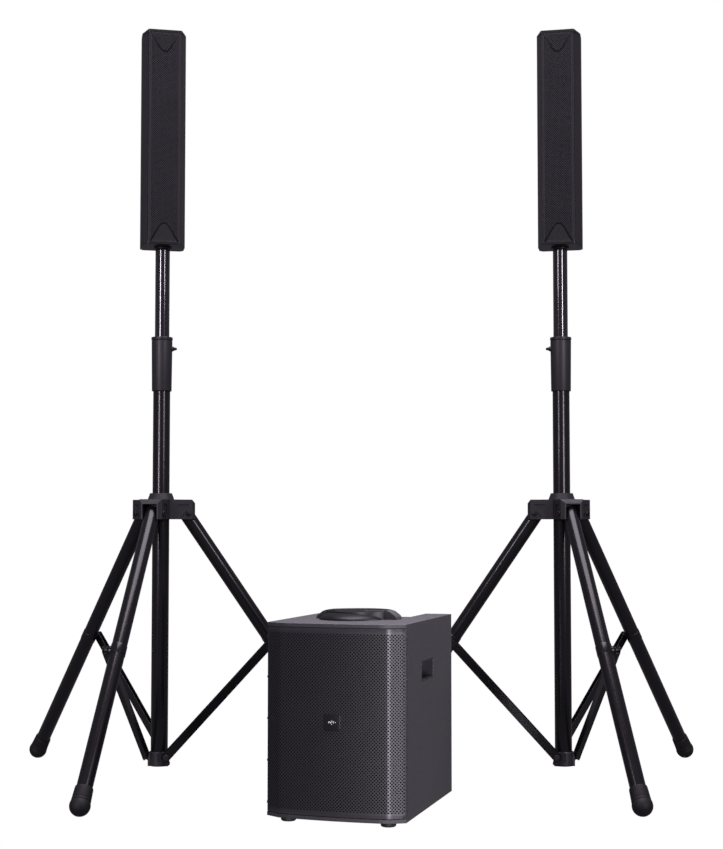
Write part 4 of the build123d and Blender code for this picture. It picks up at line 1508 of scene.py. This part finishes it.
def jackShapes():
    rings = []
    contacts = []
    for x in panel["jackSpots"]:
        outer = panel["jack"]
        ringLine = [
            (outer, 0), (outer, 2.2), (outer - 0.8, 3), (outer - 3.4, 3), (outer - 4, 2.4),
            (outer - 4, 0.6), (4.2, 0.6), (4.2, 0.2), (0, 0.2), (0, 0),
        ]
        place = shift(x, panel["socketRow"], 0)
        rings.append(placed(spun(ringLine, 0.2, 2, 56), place))
        for step in range(3):
            spot = place @ shift(*onCircle(5.6, 90 + step * 120))
            contacts.append(placed(pipe(0.7, 1.3, 0.55, 0.85, 0.1, 20), spot))
        contacts.append(placed(pipe(3.2, 4.0, 0.5, 1.1, 0.15, 40), place))
    return rings, contacts


def inletShapes():
    outer = softened([(-15, -12), (15, -12), (15, 12), (-15, 12)], 2.5, 4)
    inner = softened([(-11, -8), (11, -8), (11, 4.5), (7.5, 8), (-7.5, 8), (-11, 4.5)], 1, 3)
    base = prism(outer, 0, 1.0, 0.2)
    walls = []
    sides = (
        ((-15, 8.2), (15, 12)),
        ((-15, -12), (15, -8.2)),
        ((-15, -8.2), (-11.2, 8.2)),
        ((11.2, -8.2), (15, 8.2)),
    )
    for low, high in sides:
        walls.append(slab((*low, 0.9), (*high, 3), 0.35))
    floor = prism(inner, 1.0, 1.15, 0)
    blades = []
    for x, up in ((-5, 0), (0, 2.5), (5, 0)):
        blades.append(slab((x - 0.7, -2.4 + up, 1), (x + 0.7, 2.4 + up, 2.7), 0.2))
    place = shift(panel["inletX"], panel["socketRow"], 0)
    body = [placed(shape, place) for shape in [base, floor] + walls]
    return body, [placed(shape, place) for shape in blades]


def switchFrameShapes():
    x = panel["switchX"]
    y = knobRow
    bars = []
    sides = (
        ((-11, -15), (11, -12)),
        ((-11, 12), (11, 15)),
        ((-11, -12), (-8, 12)),
        ((8, -12), (11, 12)),
    )
    for low, high in sides:
        bars.append(slab((x + low[0], y + low[1], 0), (x + high[0], y + high[1], 2), 0.4))
    return bars


def flutedKnob(radius, height):
    outline = []
    for step in range(96):
        angle = math.radians(step * 3.75)
        depth = 0.45 * (0.5 + 0.5 * math.cos(24 * angle))
        outline.append(((radius - depth) * math.cos(angle), (radius - depth) * math.sin(angle)))
    skirtLine = [(0, 0), (radius, 0), (radius, 2.2), (radius - 0.8, 3.0), (0, 3.0)]
    skirt = spun(skirtLine, 0.3, 2, 64)
    grip = prism(outline, 2.8, height - 0.6, 0)
    for vert in grip.verts:
        share = (vert.co.z - 2.8) / (height - 2.8)
        vert.co.x *= 0.93 - 0.1 * share
        vert.co.y *= 0.93 - 0.1 * share
    topLine = [
        (0, height - 0.8), (radius * 0.8, height - 0.8), (radius * 0.76, height),
        (0, height - 0.4),
    ]
    top = spun(topLine, 0.3, 2, 64)
    stem = rod(3.0, -7.0, 1.0, 0.3, 32)
    return [skirt, grip, top, stem]


addPiece("mixerPanel", cadCopy("mixer_panel", 0.3), "root", "panelPaint",
         ["mixer_panel"], 50, True)
addPiece("panelPrint", placed(gathered(panelPrint()), panelPlace), "root", "printInk")
addPiece("panelScrews", placed(gathered(panelScrews()), panelPlace), "root",
         "screwSteel", (), 40)
rings, contacts = jackShapes()
inletParts, blades = inletShapes()
addPiece("sockets", placed(gathered(rings + inletParts + switchFrameShapes()), panelPlace), "root",
         "socketPlastic", ["sockets"], 40)
addPiece("socketContacts", placed(gathered(contacts + blades), panelPlace), "root",
         "contactMetal")
for name, x in knobSpots.items():
    place = panelPlace @ shift(x, knobRow, 0.3)
    label = name.replace("_", "-")
    knob = gathered(flutedKnob(panel["knobRadius"], 14))
    addPiece(label + "-grip", placed(knob, place), name, "softNylon", [name], 40)
    line = slab((-0.7, 2, 13.2), (0.7, 7.6, 14.5), 0.2)
    addPiece(label + "-pointer", placed(line, place), name, "printInk")
addPiece("powerRocker", cadCopy("power_switch", 0.5), "power_switch", "glossTrim",
         ["power_switch"], 50, True)
print("panel made")


# Camera, lights and surroundings


def makeCamera():
    data = bpy.data.cameras.new("camera")
    data.lens = 63.6
    data.sensor_width = 36
    data.shift_y = 0.029
    data.shift_x = -0.0013
    data.clip_start = 0.05
    data.clip_end = 60
    camera = bpy.data.objects.new("camera", data)
    camera.location = (0.003, -3.509, 0.604)
    camera.rotation_euler = (math.radians(90 + 2.96), 0, 0)
    bpy.context.scene.collection.objects.link(camera)
    bpy.context.scene.camera = camera


def addLight(name, location, target, width, height, power, pieces=()):
    data = bpy.data.lights.new(name, "AREA")
    data.shape = "RECTANGLE"
    data.size = width
    data.size_y = height
    data.energy = power
    data.color = (1.0, 0.93, 1.06)
    light = bpy.data.objects.new(name, data)
    light.location = location
    aim = Vector(target) - Vector(location)
    light.rotation_euler = aim.to_track_quat("-Z", "Y").to_euler()
    light.visible_camera = False
    bpy.context.scene.collection.objects.link(light)
    if pieces:
        lit = bpy.data.collections.new(name + "Pieces")
        for piece in pieces:
            lit.objects.link(piece)
        light.light_linking.receiver_collection = lit


def piecesOf(prefixes):
    meshes = [item for item in bpy.data.objects if item.type == "MESH"]
    return [item for item in meshes if item.name.startswith(prefixes)]


def makeWorld():
    # White to the camera, a dimmer grey to everything else.
    world = bpy.data.worlds.new("surroundings")
    bpy.context.scene.world = world
    world.use_nodes = True
    tree = world.node_tree
    tree.nodes.clear()
    output = addNode(tree, "OutputWorld")
    rays = addNode(tree, "LightPath")
    seen = addNode(tree, "Background", values={"Color": (1, 1, 1, 1), "Strength": 1.0})
    around = addNode(
        tree, "Background", values={"Color": (1, 0.92, 1.1, 1), "Strength": 0.13}
    )
    choose = addNode(tree, "MixShader")
    link = linker(tree)
    link(rays, "Is Camera Ray", choose, 0)
    link(around, "Background", choose, 1)
    link(seen, "Background", choose, 2)
    link(choose, "Shader", output, "Surface")


makeCamera()
makeWorld()
for side, sign in (("left", -1), ("right", 1)):
    pieces = piecesOf(side)
    standX = sign * 0.49
    addLight(side + "NearStrip", (sign * 7.2, -14, 4.4), (standX, 0, 1.0), 1.1, 7, 780, pieces)
    addLight(side + "FarStrip", (-sign * 10.2, -11.4, 7.0), (standX, 0, 1.2), 1.1, 6, 420,
             pieces)
floorPieces = [item for item in piecesOf("") if not item.name.startswith(("left", "right"))]
addLight("cabinetKey", (1.9, -14.6, -1.2), (0, -0.6, 0.2), 2.8, 6, 1900, floorPieces)
addLight("cabinetTop", (0.2, -0.2, 2.4), (0.1, -0.3, 0.4), 1.6, 1.6, 110,
         [item for item in floorPieces if item.name != "topHandle"])
addLight("cabinetSide", (4.2, -1.6, 1.2), (0.1, -0.5, 0.2), 2.0, 2.4, 105, floorPieces)
addLight("topSoftbox", (0.3, -0.6, 4.6), (0, 0, 0.4), 3.6, 3.0, 170)
bpy.context.scene.view_settings.view_transform = "Standard"
bpy.context.scene.view_settings.look = "None"
print("lights and camera made")
